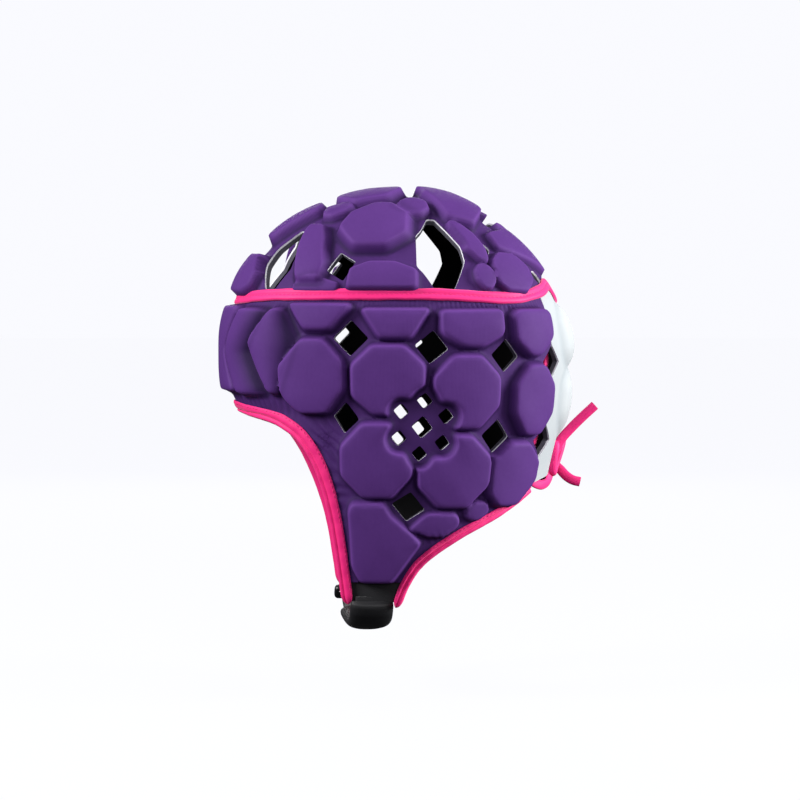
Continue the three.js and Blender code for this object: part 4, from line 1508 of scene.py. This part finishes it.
    def triangles(self, loops: list[Array], extra: Array) -> tuple[Array, list[tuple[int, int, int]]]:
        """Triangles of the panel's pattern, with the loops' points first.

        Args:
            loops: border first, then the vents.
            extra: points between them.

        Returns:
            Pattern points and triangles.
        """
        points = np.vstack([*loops, extra])
        edges, start = [], 0
        for loop in loops:
            edges += [(start + i, start + (i + 1) % len(loop)) for i in range(len(loop))]
            start += len(loop)
        made = delaunay_2d_cdt([Vector(p) for p in points], edges, [], 0, SAME_POINT, False)
        places = np.array([tuple(p) for p in made[0]])
        if len(places) != len(points):
            raise ValueError(f"{self.name}: the pattern's points were merged")
        index = np.array(made[2])
        corner = places[index]
        keep = on_panel(corner.mean(axis=1), loops)
        first, second = corner[:, 1] - corner[:, 0], corner[:, 2] - corner[:, 0]
        area = first[:, 0] * second[:, 1] - first[:, 1] * second[:, 0]
        index[area < 0] = index[area < 0][:, ::-1]
        return places, [tuple(t) for t in index[keep & (np.abs(area) > NO_AREA)].tolist()]

    def build(self, wardrobe: Wardrobe) -> bpy.types.Object:
        """Makes the panel's closed mesh and seats it.

        Args:
            wardrobe: the guard's materials.

        Returns:
            The panel.
        """
        tops = self.both_sides(self.blocks, self.block_round)
        cuts = self.both_sides(self.vents, self.vent_round)
        vents = [even_steps(cut.ring, self.vent_step, closed=True) for cut in cuts]
        loops = [even_steps(self.border, self.border_step, closed=True), *vents]
        rim_count = sum(len(loop) for loop in loops)
        face_ab, face = self.triangles(loops, self.scatter(loops, tops, self.spacing))
        back_ab, back = self.triangles(loops, self.scatter(loops, [], self.lining_spacing))
        # height, painted highlight and painted shade of each face point
        height, shoulder, painted_shade = self.relief(face_ab, tops, vents)
        outer = lifted(self.chart, face_ab, self.web + height)
        lip = lifted(self.chart, face_ab[:rim_count], self.web + height[:rim_count] - self.rim)
        inner = lifted(self.chart, back_ab, 0.0)
        second, third = len(outer), len(outer) + rim_count  # numbers of the first lip and lining points
        directed = {(t[i], t[(i + 1) % 3]) for t in face for i in range(3)}
        open_edges = sorted((a, b) for a, b in directed if (b, a) not in directed)
        lips = [(b, a, second + a, second + b) for a, b in open_edges]
        walls = [(second + b, second + a, third + a, third + b) for a, b in open_edges]
        linings = [(third + c, third + b, third + a) for a, b, c in back]
        faces = [*face, *lips, *walls, *linings]
        paint = np.repeat([0, 2, 3, 1], [len(face), len(lips), len(walls), len(linings)])
        cloth = wardrobe.white if self.slot is Slot.REAR else wardrobe.purple
        blank = np.zeros(len(lip) + len(inner))
        piece = mesh_object(
            self.name, np.vstack([outer, lip, inner]), faces,
            [cloth, wardrobe.lining, wardrobe.rim, wardrobe.foam], paint,
            np.vstack([face_ab, face_ab[:rim_count], back_ab]),
            {
                PAINTED_HIGHLIGHT: np.concatenate([shoulder, blank]),
                PAINTED_SHADE: np.concatenate([painted_shade, blank]),
                PUCKER: np.concatenate([self.puckers(face_ab) * painted_shade, blank]),
            },
            sharp=PANEL_SHARP,
        )
        return ride(piece, self.slot, self.name.removesuffix("_cover"))


def unevenness(ab: Array) -> Array:
    """Slight waves that no moulded panel is free of."""
    a, b = ab.T
    return 0.12 * np.sin(a / 7.3 + 1.1) * np.sin(b / 6.1 + 0.4) + 0.06 * np.sin(a / 3.9 + b / 4.7)


def thinned(fixed: Array, points: Array, room: float) -> Array:
    """Points in order, without those closer than the room to a fixed or an earlier point.

    Args:
        fixed: points that stay.
        points: points to pick from.
        room: least distance.

    Returns:
        The picked points.
    """
    cells: dict[tuple[int, int], list[Pair]] = {}

    def put(x: float, y: float) -> None:
        """Notes a point in its cell."""
        cells.setdefault((int(x // room), int(y // room)), []).append((x, y))

    for x, y in fixed.tolist():
        put(x, y)
    kept = []
    square = room * room
    nine = [(i, j) for i in (-1, 0, 1) for j in (-1, 0, 1)]
    for x, y in points.tolist():
        cx, cy = int(x // room), int(y // room)
        near = (p for i, j in nine for p in cells.get((cx + i, cy + j), ()))
        if all((x - px) ** 2 + (y - py) ** 2 > square for px, py in near):
            put(x, y)
            kept.append((x, y))
    return np.array(kept)


# Tapes and stitches


def stitch_tree() -> bpy.types.NodeTree:
    """Geometry Nodes tree that lays a stitch on each point along its stored direction.

    Returns:
        The tree, with named inputs for its sizes.
    """
    sizes = {label: Socket.VALUE for label in ("Length", "Width", "Height")}
    graph, given, out = new_group(
        "Stitch row", {"Points": Socket.GEOMETRY, **sizes, "Thread": Socket.MATERIAL},
        {"Stitches": Socket.GEOMETRY}, "GeometryNodeTree",
    )
    wanted = given.outputs
    size = graph.node("ShaderNodeCombineXYZ")
    graph.fill(size, X=wanted["Length"], Y=wanted["Width"], Z=wanted["Height"])
    bead = graph.fill(graph.node("GeometryNodeMeshUVSphere"), Segments=8, Rings=5, Radius=0.5)
    turned = None
    for label, axis, pivot in (("along", "X", "AUTO"), ("up", "Z", "X")):
        way = graph.fill(graph.node("GeometryNodeInputNamedAttribute", data_type="FLOAT_VECTOR"), Name=label)
        align = graph.node("FunctionNodeAlignRotationToVector", axis=axis, pivot_axis=pivot)
        graph.fill(align, Vector=way.outputs["Attribute"])
        if turned is not None:
            graph.fill(align, Rotation=turned)
        turned = align.outputs["Rotation"]
    laid = graph.node("GeometryNodeInstanceOnPoints")
    graph.fill(
        laid, Points=wanted["Points"], Instance=bead.outputs["Mesh"], Rotation=turned,
        Scale=size.outputs["Vector"],
    )
    real = graph.fill(graph.node("GeometryNodeRealizeInstances"), Geometry=laid.outputs["Instances"])
    smooth = graph.fill(graph.node("GeometryNodeSetShadeSmooth"), Geometry=real.outputs["Geometry"])
    dressed = graph.node("GeometryNodeSetMaterial")
    graph.fill(dressed, Geometry=smooth.outputs["Geometry"], Material=wanted["Thread"])
    graph.fill(out, Stitches=dressed.outputs["Geometry"])
    return graph.tree


@dataclass
class StitchRow:
    """A row of stitches along a line on a pattern."""

    name: str
    chart: Chart
    line: Array
    lift: float
    tree: bpy.types.NodeTree
    thread: bpy.types.Material
    pitch: float = 3.0
    length: float = 2.2
    width: float = 0.7
    height: float = 0.5

    def build(self) -> bpy.types.Object:
        """Lays the stitches as one plain mesh and seats it.

        Returns:
            The stitches.
        """
        line = even_steps(self.line, self.pitch)
        places = lifted(self.chart, line, self.lift)
        above = lifted(self.chart, line, self.lift + 1.0)
        along = np.gradient(places, axis=0)
        mesh = bpy.data.meshes.new(self.name)
        mesh.from_pydata((places * MM).tolist(), [], [])
        for label, values in (("along", along), ("up", above - places)):
            layer = mesh.attributes.new(label, "FLOAT_VECTOR", "POINT")
            layer.data.foreach_set("vector", values.astype(np.float32).ravel())
        row = bpy.data.objects.new(self.name, mesh)
        bpy.context.scene.collection.objects.link(row)
        modifier = row.modifiers.new("stitches", "NODES")
        modifier.node_group = self.tree
        sizes = {"Length": self.length * MM, "Width": self.width * MM, "Height": self.height * MM}
        values = {**sizes, "Thread": self.thread}
        for socket in self.tree.interface.items_tree:
            if socket.name in values:
                modifier[socket.identifier] = values[socket.name]
        made = row.evaluated_get(bpy.context.evaluated_depsgraph_get())
        result = bpy.data.meshes.new_from_object(made)
        row.modifiers.remove(modifier)
        row.data = result
        bpy.data.meshes.remove(mesh)
        return ride(row, Slot.TRIM)


def rounded_profile(rows: Sequence[Pair], rounds: int = 2) -> Array:
    """Closed section with its corners cut again and again until they are round.

    Args:
        rows: corners of the section.
        rounds: how often they are cut.

    Returns:
        The rounded section.
    """
    ring = np.array(rows, float)
    for _ in range(rounds):
        after = np.roll(ring, -1, axis=0)
        ring = np.stack([0.75 * ring + 0.25 * after, 0.25 * ring + 0.75 * after], 1).reshape(-1, 2)
    return ring


@dataclass
class FoldedBinding:
    """Tape folded over a free edge of the band: a padded leg, a sewn crease and a rolled edge."""

    name: str
    line: Array
    leg: float
    inward: int
    tip: float = 7.0
    rounded_end: bool = True
    seam_in: float = 1.0  # stitches run this far inside the leg's edge
    seam_lift: float = 1.62
    thinnest: float = 0.02  # least section at a tip, squared

    def profile(self) -> Array:
        """Section as distance in from the edge and lift off the lining.

        Returns:
            Points of the section in order.
        """
        web, leg = EDGES.web, self.leg
        return rounded_profile([
            (leg, web + 0.35), (leg + 0.1, web + 1.1), (leg - 1.0, web + 1.7), (leg * 0.55, web + 2.0),
            (2.0, web + 1.7), (1.0, web + 0.8), (0.2, web + 1.5), (-1.4, web + 1.5), (-2.7, web - 0.4),
            (-2.8, 0.8), (-1.6, -1.1), (0.6, -2.0), (leg * 0.6, -2.1), (leg, -1.6), (leg, -0.6),
            (0.5, -0.5), (-0.5, 0.5), (-0.5, web - 0.5), (0.5, web + 0.3),
        ])

    def ways_in(self) -> Array:
        """Ways on the pattern from the edge into the band."""
        step = unit(np.gradient(self.line, axis=0))
        return np.stack([-step[:, 1], step[:, 0]], -1) * self.inward

    def sections(self) -> Array:
        """Sections along the edge, drawn in to a rounded tip at its ends.

        Returns:
            Points, section by section.
        """
        profile, along = self.profile(), run_length(self.line)
        left = np.minimum(along, self.tip)
        if self.rounded_end:
            left = np.minimum(left, along[-1] - along)
        shrink = np.sqrt(np.clip(1 - (1 - left / self.tip) ** 2, self.thinnest, 1))
        middle = np.array([self.leg / 2 - 1, EDGES.web / 2])
        rings = []
        for place, way, size, run in zip(self.line, self.ways_in(), shrink, along):
            ripple = 1 + 0.03 * math.sin(run / 2.9) + 0.02 * math.sin(run / 1.3 + 1)
            offset = (profile - middle) * [size, (0.4 + 0.6 * size) * ripple] + middle
            rings.append(lifted(HEAD.band, place + offset[:, :1] * way, offset[:, 1]))
        return np.array(rings)

    def build(self, wardrobe: Wardrobe, tree: bpy.types.NodeTree) -> bpy.types.Object:
        """Makes the tape and its row of stitches and seats them.

        Args:
            wardrobe: the guard's materials.
            tree: the stitch tree.

        Returns:
            The tape.
        """
        piece = strip_object(self.name + "_tape", self.sections(), wardrobe.pink)
        trim = int(self.tip / EDGES.step)
        seam = (self.line + self.ways_in() * (self.leg - self.seam_in))[trim:-trim]
        lift = EDGES.web + self.seam_lift
        StitchRow(self.name + "_stitches", HEAD.band, seam, lift, tree, wardrobe.thread).build()
        return ride(piece, Slot.TRIM, self.name)


@dataclass
class SeamTape:
    """Tape sewn flat over the seam between crown and band, with a row of stitches along its middle."""

    name: str = "crown_binding"
    half: float = 3.3
    thick: float = 2.1
    lift: float = 0.15  # clearance over the panels' web
    seam_sunk: float = 0.45  # stitches lie this far below the tape's top
    count: int = 420

    def line(self) -> Array:
        """The seam on the band pattern, once round."""
        u = np.linspace(-1, 1, self.count, endpoint=False) * HEAD.half_girth()
        return np.stack([u, HEAD.seam_height(HEAD.turn_at(u))], -1)

    def build(self, wardrobe: Wardrobe, tree: bpy.types.NodeTree) -> bpy.types.Object:
        """Makes the tape and its stitches and seats them.

        Args:
            wardrobe: the guard's materials.
            tree: the stitch tree.

        Returns:
            The tape.
        """
        base, half, thick = EDGES.web + self.lift, self.half, self.thick
        profile = rounded_profile([
            (-half, base), (0, base), (half, base), (half + 0.1, base + 0.9), (half - 0.7, base + thick),
            (1.1, base + thick), (0, base + thick - 0.55), (-1.1, base + thick), (0.7 - half, base + thick),
            (-half - 0.1, base + 0.9),
        ])
        line = self.line()
        rings = []
        for i, (u, z) in enumerate(line):
            swell = 1 + 0.05 * math.sin(i / 3.1) * math.sin(i / 7.7)
            ab = np.stack([np.full(len(profile), u), z + profile[:, 0] * swell], -1)
            rings.append(lifted(HEAD.band, ab, profile[:, 1]))
        piece = strip_object(self.name + "_tape", np.array(rings), wardrobe.pink, closed=True)
        lift = base + thick - self.seam_sunk
        StitchRow(self.name + "_stitches", HEAD.band, line, lift, tree, wardrobe.thread).build()
        return ride(piece, Slot.TRIM, self.name)


# Lace


def square_to(along: Array, ways: Array) -> Array:
    """Unit vectors nearest to the given ways that are square to a path."""
    return unit(ways - along * (ways * along).sum(axis=1, keepdims=True))


@dataclass
class Lace:
    """Flat tubular lace up the inside of the rear panel and down again, knotted below it."""

    wide: float = 6.0
    thick: float = 2.5
    long_tail: tuple[Triple, ...] = (  # u from the nape, z, lift
        (-4, -121.5, 24), (-4, -129, 17), (-4, -136.5, 11.5), (-4.5, -144, 7.5), (-5, -153, 6),
        (-5.5, -161, 5.5), (-7, -166.5, 5.5),
    )
    loop: tuple[Triple, ...] = (
        (11, -171, 4.5), (19, -172.8, 1), (28, -170.5, -4.2), (36, -162, -6), (40, -147, -4.6),
        (41, -130, -4.2), (41, -110, -4.2), (40, -92, -4.2), (35, -78, -4.2), (22, -71, -4.2),
    )
    top: Triple = (0, -69.5, -4.2)
    short_tail: tuple[Triple, ...] = (
        (5, -166, 6), (3, -160.5, 8), (2, -162, 12), (1, -165.2, 16.5), (0, -167, 21), (0, -167.3, 26),
    )
    step: float = 1.0
    fine: int = 24  # points of the curve between two rows
    mouth: float = 0.62  # opening of a hollow end, as a share of the lace
    mouth_deep: int = 3  # and its depth in steps
    squareness: float = 0.8  # power of the section's broad way, less for a squarer one
    swell: float = 0.05  # uneven thickness, as a share of it
    turn_from: float = 2.0  # distance off the nape where the lace starts to turn its broad side
    turn_over: float = 6.0
    knot_at: Triple = (-1.5, -154.0, 6.0)  # u from the nape, z, lift
    knot_size: Triple = (6.2, 9.0, 3.4)
    knot_skew: float = 3.0
    knot_lean: float = 0.1
    knot_thick: float = 1.6  # thickness of the wrap, as a multiple of the lace's

    def route(self) -> Array:
        """Centre line from the end of the long tail to the end of the short one.

        Returns:
            Points at even steps.
        """
        right = [(-u, z, lift) for u, z, lift in self.loop]
        rows = np.array([*self.long_tail, *right, self.top, *self.loop[::-1], *self.short_tail], float)
        knots = lifted(HEAD.rear, rows[:, :2], rows[:, 2])
        padded = np.vstack([2 * knots[0] - knots[1], knots, 2 * knots[-1] - knots[-2]])
        pace = np.sqrt(np.linalg.norm(np.diff(padded, axis=0), axis=1))
        parts = []
        for i in range(1, len(padded) - 2):
            p0, p1, p2, p3 = padded[i - 1:i + 3]
            d0, d1, d2 = pace[i - 1:i + 2]
            v1 = ((p1 - p0) / d0 - (p2 - p0) / (d0 + d1) + (p2 - p1) / d1) * d1
            v2 = ((p2 - p1) / d1 - (p3 - p1) / (d1 + d2) + (p3 - p2) / d2) * d1
            parts.append(curve_part(p1, p2, v1, v2, self.fine))
        return even_steps(np.vstack([*parts, padded[-2:-1]]), self.step)

    def sections(self, route: Array) -> Array:
        """Flat oval sections that lie on the lining and turn their broad side outward on the tails.

        Args:
            route: centre line.

        Returns:
            Points, section by section.
        """
        along = unit(np.gradient(route, axis=0))
        nape = HEAD.wall(np.full(len(route), HALF_TURN), route[:, 2])
        out = np.clip((route[:, 1] - nape[:, 1] - self.turn_from) / self.turn_over, 0, 1)[:, None]
        flat = (1 - out) * (route - [0, HEAD.station, 0]) * [1, 1, 0] / HEAD.back + out * [1.0, 0.0, 0.0]
        flat = square_to(along, flat)
        side = np.cross(along, flat)
        turn = around(14)
        swell = (1 + self.swell * np.sin(np.arange(len(route)) / 5.0))[:, None, None]
        broad = signed_power(np.cos(turn), self.squareness)[None, :, None] * self.wide / 2 * side[:, None]
        return route[:, None] + broad + np.sin(turn)[None, :, None] * self.thick / 2 * swell * flat[:, None]

    def build(self, wardrobe: Wardrobe) -> bpy.types.Object:
        """Makes the lace with its hollow ends and its knot, and seats them.

        Args:
            wardrobe: the guard's materials.

        Returns:
            The lace.
        """
        route = self.route()
        sections = self.sections(route)
        ends = ((route[self.mouth_deep], sections[0]), (route[-1 - self.mouth_deep], sections[-1]))
        mouths = [place + (ring - ring.mean(axis=0)) * self.mouth for place, ring in ends]
        lace = strip_object(
            "lace_cord", np.concatenate([mouths[:1], sections, mouths[1:]]), wardrobe.pink,
        )
        knot = self.knot(wardrobe)
        return ride(lace, Slot.TRIM, "lace")

    def knot(self, wardrobe: Wardrobe) -> bpy.types.Object:
        """Wrap of the lace round both strands where they are tied.

        Args:
            wardrobe: the guard's materials.

        Returns:
            The knot.
        """
        turn = around(64)
        (u, z, lift), (wide, tall, deep) = self.knot_at, self.knot_size
        fall = tall * np.sin(2 * turn) + self.knot_skew * np.cos(turn)
        places = np.stack([u + wide * np.cos(turn), z + fall], -1)
        route = lifted(HEAD.rear, places, lift + deep * np.sin(turn) + self.knot_lean * fall)
        along = unit(np.roll(route, -1, axis=0) - np.roll(route, 1, axis=0))
        away = square_to(along, route - route.mean(axis=0))
        side = np.cross(along, away)
        angle = around(12)
        broad = np.cos(angle)[None, :, None] * side[:, None] * self.wide / 2
        flat = np.sin(angle)[None, :, None] * away[:, None] * self.thick * self.knot_thick / 2
        knot = strip_object("lace_knot", route[:, None] + broad + flat, wardrobe.pink, closed=True)
        return ride(knot, Slot.TRIM)


# Chin strap


@dataclass
class ChinStrap:
    """Flap tabs, webbing, padded sleeve and moulded loop under the chin."""

    wide: float = 20.0
    thick: float = 2.2
    start_u: float = 113.0
    drop: float = 19.5
    bend: float = 2.7
    tab_thick: float = 2.6
    tab_over: float = 3.176  # the tab starts this far above the flap's end
    tab_under: float = 3.5  # and ends this far below its own solid's
    tab_in: float = 0.8
    tab_power: float = 8.0  # squareness of its section
    tab_lift: float = 0.2  # lift off the lining below the flap's end
    tab_raised: float = 0.6  # and above it
    tab_rows: int = 14
    tab_columns: int = 24
    pad_wide: float = 26.0
    pad_thick: float = 10.0
    pad_from: float = 0.02
    pad_to: float = 0.62
    pad_power: float = 2.3
    pad_fill: float = 5.0  # length over which the sleeve fills out
    pad_hem: float = 4.5  # distance of the sewn hem from its end
    pad_flat: float = 0.25  # least thickness at its ends, squared
    loop_at: float = 0.88
    loop_wide: float = 29.0
    loop_tall: float = 10.6
    loop_bar: float = 3.2
    loop_deep: float = 4.5
    aft: Triple = (0.0, 1.0, 0.0)

    def point(self, share: Array) -> Array:
        """Middle line from the left tab (0) under the chin to the right tab (1).

        Args:
            share: shares of the way.

        Returns:
            Points in millimetres.
        """
        height = EDGES.tab_end - EDGES.gap
        top = lifted(HEAD.band, np.array([[self.start_u, height]]), EDGES.gap + self.tab_thick / 2)[0]
        turn = np.pi * np.asarray(share, float)
        x = top[0] * signed_power(np.cos(turn), 2 / self.bend)
        z = top[2] - self.drop * np.abs(np.sin(turn)) ** (2 / self.bend)
        return np.stack([x, np.full(len(x), top[1]), z], -1)

    def frames(self, share: Array) -> tuple[Array, Array, Array]:
        """Places, directions and ways out of the loop along the strap."""
        step = 1e-3
        along = unit(self.point(np.clip(share + step, 0, 1)) - self.point(np.clip(share - step, 0, 1)))
        return self.point(share), along, np.cross(along, self.aft)

    def strip(self, profile: Array, share: Array, scale: Array) -> Array:
        """Sections of a strip on the strap from fore-and-aft and outward offsets."""
        place, _, out = self.frames(share)
        sized = profile[None] * scale[:, None, :]
        return place[:, None] + sized[..., :1] * np.array(self.aft) + sized[..., 1:] * out[:, None]

    def webbing(self, wardrobe: Wardrobe) -> bpy.types.Object:
        """Strap from tab to tab.

        Args:
            wardrobe: the guard's materials.

        Returns:
            The strap.
        """
        x, y = self.wide / 2, self.thick / 2
        under = [(x * share, -y) for share in (-1, -0.5, 0, 0.5, 1)]
        profile = rounded_profile([*under, *((a, -b) for a, b in under[::-1])])
        share = np.linspace(0, 1, 120)
        sections = self.strip(profile, share, np.ones((len(share), 2)))
        piece = strip_object("chin_webbing", sections, wardrobe.webbing)
        return ride(piece, Slot.WEBBING, "chin_strap")

    def sleeve(self, wardrobe: Wardrobe) -> bpy.types.Object:
        """Padded sleeve, flat at its hems and full between them.

        Args:
            wardrobe: the guard's materials.

        Returns:
            The sleeve.
        """
        turn = around(40)
        round_off = 2 / self.pad_power
        profile = np.stack([
            signed_power(np.cos(turn), round_off) * self.pad_wide / 2,
            signed_power(np.sin(turn), round_off) * self.pad_thick / 2,
        ], -1)
        share = np.linspace(self.pad_from, self.pad_to, 110)
        length = float(run_length(self.point(share))[-1])
        run = np.linspace(0, length, len(share))
        edge = np.minimum(run, length - run)
        full = np.sqrt(np.clip(1 - (1 - np.clip(edge / self.pad_fill, 0, 1)) ** 2, self.pad_flat, 1))
        hem = 0.03 * np.exp(-(((edge - self.pad_hem) / 0.9) ** 2))
        crease = 0.02 * np.sin(run / 4.3) + 0.015 * np.sin(run / 1.9)
        scale = np.stack([0.9 + 0.1 * full - 0.3 * hem, full - hem + crease], -1)
        piece = strip_object("chin_sleeve", self.strip(profile, share, scale), wardrobe.neoprene)
        return ride(piece, Slot.NEOPRENE, "chin_pad")

    def tab(self, side: Side, wardrobe: Wardrobe) -> bpy.types.Object:
        """Black end of a flap between its two bindings.

        Args:
            side: side of the wearer.
            wardrobe: the guard's materials.

        Returns:
            The tab.
        """
        top, bottom = EDGES.flap_end + self.tab_over, EDGES.tab_end - self.tab_under
        rings = []
        for z in np.linspace(top, bottom, self.tab_rows):
            low, high = EDGES.across(min(z, EDGES.flap_end))
            u = np.linspace(low + self.tab_in, high - self.tab_in, self.tab_columns)
            ab = np.stack([side.value * u, np.full(len(u), z)], -1)
            full = np.sqrt(np.clip(1 - np.linspace(-1, 1, len(u)) ** self.tab_power, 0.05, 1))
            base = self.tab_lift if z <= EDGES.flap_end - EDGES.gap else self.tab_raised
            outer = lifted(HEAD.band, ab, base + self.tab_thick * full)
            inner = lifted(HEAD.band, ab, base)
            rings.append(np.vstack([outer, inner[::-1]]))
        name = f"flap_tab_{side.name.lower()}"
        piece = strip_object(name + "_cloth", np.array(rings), wardrobe.webbing)
        return ride(piece, Slot.WEBBING, name)

    def buckle(self, wardrobe: Wardrobe) -> bpy.types.Object:
        """Moulded loop with rounded bars.

        Args:
            wardrobe: the guard's materials.

        Returns:
            The loop.
        """
        place, along, out = (v[0] for v in self.frames(np.array([self.loop_at])))
        x, y = (self.loop_wide - self.loop_bar) / 2, (self.loop_tall - self.loop_bar) / 2
        path = softened(np.array([(-x, -y), (x, -y), (x, y), (-x, y)], float), 0.9, 0.6)
        step = unit(np.roll(path, -1, axis=0) - np.roll(path, 1, axis=0))
        side = np.stack([step[:, 1], -step[:, 0]], -1)
        bar, deep = self.loop_bar / 2, self.loop_deep / 2
        profile = rounded_profile([(-bar, -deep), (bar, -deep), (bar, deep), (-bar, deep)])
        across = path[:, None] + profile[None, :, :1] * side[:, None]
        depth = np.broadcast_to(profile[None, :, 1:], across[..., :1].shape)
        sections = place + across[..., :1] * np.array(self.aft) + across[..., 1:] * out + depth * along
        piece = strip_object("strap_buckle", sections, wardrobe.plastic, closed=True)
        return ride(piece, Slot.MOULDED, "strap_loop")

    def build(self, wardrobe: Wardrobe) -> None:
        """Makes every piece of the strap.

        Args:
            wardrobe: the guard's materials.
        """
        self.webbing(wardrobe)
        self.sleeve(wardrobe)
        for side in Side:
            self.tab(side, wardrobe)
        self.buckle(wardrobe)


# Studio


@dataclass(frozen=True)
class SoftBox:
    """Square soft light."""

    name: str
    place: Triple
    size: float
    power: float

    def build(self, target: Triple) -> None:
        """Makes the light and aims it at the guard.

        Args:
            target: what it is aimed at, in metres.
        """
        data = bpy.data.lights.new(self.name, "AREA")
        data.shape = "SQUARE"
        data.size = self.size
        data.energy = self.power
        made = bpy.data.objects.new(self.name, data)
        made.location = self.place
        aim = Vector(target) - Vector(self.place)
        made.rotation_euler = aim.to_track_quat("-Z", "Y").to_euler()
        bpy.context.scene.collection.objects.link(made)


@dataclass(frozen=True)
class Studio:
    """Camera, pale floor and soft lights."""

    azimuth: float = 85.0
    elevation: float = 2.5
    distance: float = 2.0
    target: Triple = (0.0, 0.0012, -0.121)
    span: float = 0.496  # width of the view at the target
    sensor: float = 36.0
    clip: Pair = (0.05, 50.0)
    floor: float = -0.3
    floor_reach: float = 9.0
    floor_tint: Tint = (0.03, 0.03, 0.033, 1.0)
    floor_glow: float = 0.985
    white: Tint = (0.955, 0.96, 1.0, 1.0)
    room_light: float = 0.2  # share of its seen brightness with which the room lights the guard
    boxes: tuple[SoftBox, ...] = (
        SoftBox("top_light", (0.1, 0.0, 1.4), 0.8, 7.5),
        SoftBox("front_light", (0.5, -1.4, 0.6), 0.7, 36.0),
        SoftBox("rear_light", (0.35, 1.5, 0.3), 0.7, 46.0),
        SoftBox("side_light", (1.8, 0.3, 0.4), 0.8, 10.0),
        SoftBox("far_light", (-1.8, 0.1, 0.5), 0.8, 12.0),
    )

    def camera(self) -> None:
        """Camera at the photograph's angle."""
        data = bpy.data.cameras.new("camera")
        data.sensor_width = self.sensor
        data.lens = self.sensor * self.distance / self.span
        data.clip_start, data.clip_end = self.clip
        turn, rise = math.radians(self.azimuth), math.radians(self.elevation)
        level = math.cos(rise)
        back = Vector((math.sin(turn) * level, -math.cos(turn) * level, math.sin(rise)))
        made = bpy.data.objects.new("camera", data)
        made.location = Vector(self.target) + back * self.distance
        made.rotation_euler = (-back).to_track_quat("-Z", "Y").to_euler()
        bpy.context.scene.collection.objects.link(made)
        bpy.context.scene.camera = made

    def lights(self) -> None:
        """Softboxes over, before and behind the guard, and a white room that is dimmer than it looks."""
        for box in self.boxes:
            box.build(self.target)
        scene = bpy.context.scene
        world = bpy.data.worlds.new("studio")
        scene.world = world
        world.use_nodes = True
        graph = Graph(world.node_tree)
        backdrop = next(n for n in graph.tree.nodes if n.type == "BACKGROUND")
        seen = graph.node("ShaderNodeLightPath").outputs["Is Camera Ray"]
        graph.fill(backdrop, Color=self.white, Strength=graph.ramp(seen, self.room_light, 1.0))
        scene.view_settings.view_transform = "Standard"

    def stage(self) -> None:
        """Pale floor under the guard."""
        turn = around(64)
        reach = self.floor_reach
        ring = np.stack([reach * np.cos(turn), reach * np.sin(turn), np.full(len(turn), self.floor)], -1)
        mesh = bpy.data.meshes.new("floor")
        mesh.from_pydata(ring.tolist(), [], [tuple(range(len(ring)))])
        material, graph, shader = start_material("floor")
        seen = graph.node("ShaderNodeLightPath").outputs["Is Camera Ray"]
        graph.fill(
            shader, Base_Color=self.floor_tint, Roughness=0.9, Specular_IOR_Level=0.0,
            Emission_Color=self.white, Emission_Strength=graph.ramp(seen, 0.0, self.floor_glow),
        )
        mesh.materials.append(material)
        made = bpy.data.objects.new("floor", mesh)
        bpy.context.scene.collection.objects.link(made)


BAND_GATHERS = (
    Gather(195, -62.5, 40, 3.2, 0, 3.1, 0.7),
    Gather(45, -122, 26, 4.5, -12, 4.4, 1.1),
    Gather(88, -141, 9, 13, 52, 5.0, 1.3),
    Gather(95, -172, 5, 14, 80, 6.5, 0.6),
    Gather(163, -199, 22, 3.0, 28, 4.6, 0.8),
)


def main() -> None:
    """Builds the guard piece by piece, then the studio."""
    logging.basicConfig(level=logging.INFO, format="%(name)s %(message)s")
    studio = Studio()
    studio.camera()
    wardrobe = Wardrobe()
    Lace().build(wardrobe)
    PaddedPanel(
        "crown_panel_cover", Slot.SHELL, HEAD.crown, EDGES.crown_border(), CROWN_BLOCKS, CROWN_VENTS,
        soft=0.12, block_round=1.4,
    ).build(wardrobe)
    vents = [*BAND_VENTS, *EAR.blocks()]
    PaddedPanel(
        "side_band_cover", Slot.SHELL, HEAD.band, EDGES.band_border(), BAND_BLOCKS, vents, BAND_GATHERS,
        middle_turn=math.inf,
    ).build(wardrobe)
    PaddedPanel(
        "rear_panel_cover", Slot.REAR, HEAD.rear, EDGES.rear_border(), REAR_BLOCKS, (),
        soft=0.7, overhang=0.5, block_round=4.5, middle_turn=math.inf,
    ).build(wardrobe)
    tree = stitch_tree()
    SeamTape().build(wardrobe, tree)
    front = EDGES.front_line()
    whole = np.vstack([front[1:][::-1] * [-1, 1], front])
    FoldedBinding("front_binding", whole, 6.5, 1).build(wardrobe, tree)
    for side in Side:
        line = EDGES.rear_line() * [side.value, 1]
        name = f"rear_binding_{side.name.lower()}"
        FoldedBinding(name, line, 4.0, side.value, rounded_end=False).build(wardrobe, tree)
    ChinStrap().build(wardrobe)
    studio.lights()
    studio.stage()
    bpy.context.view_layer.update()


if __name__ == "__main__":
    main()
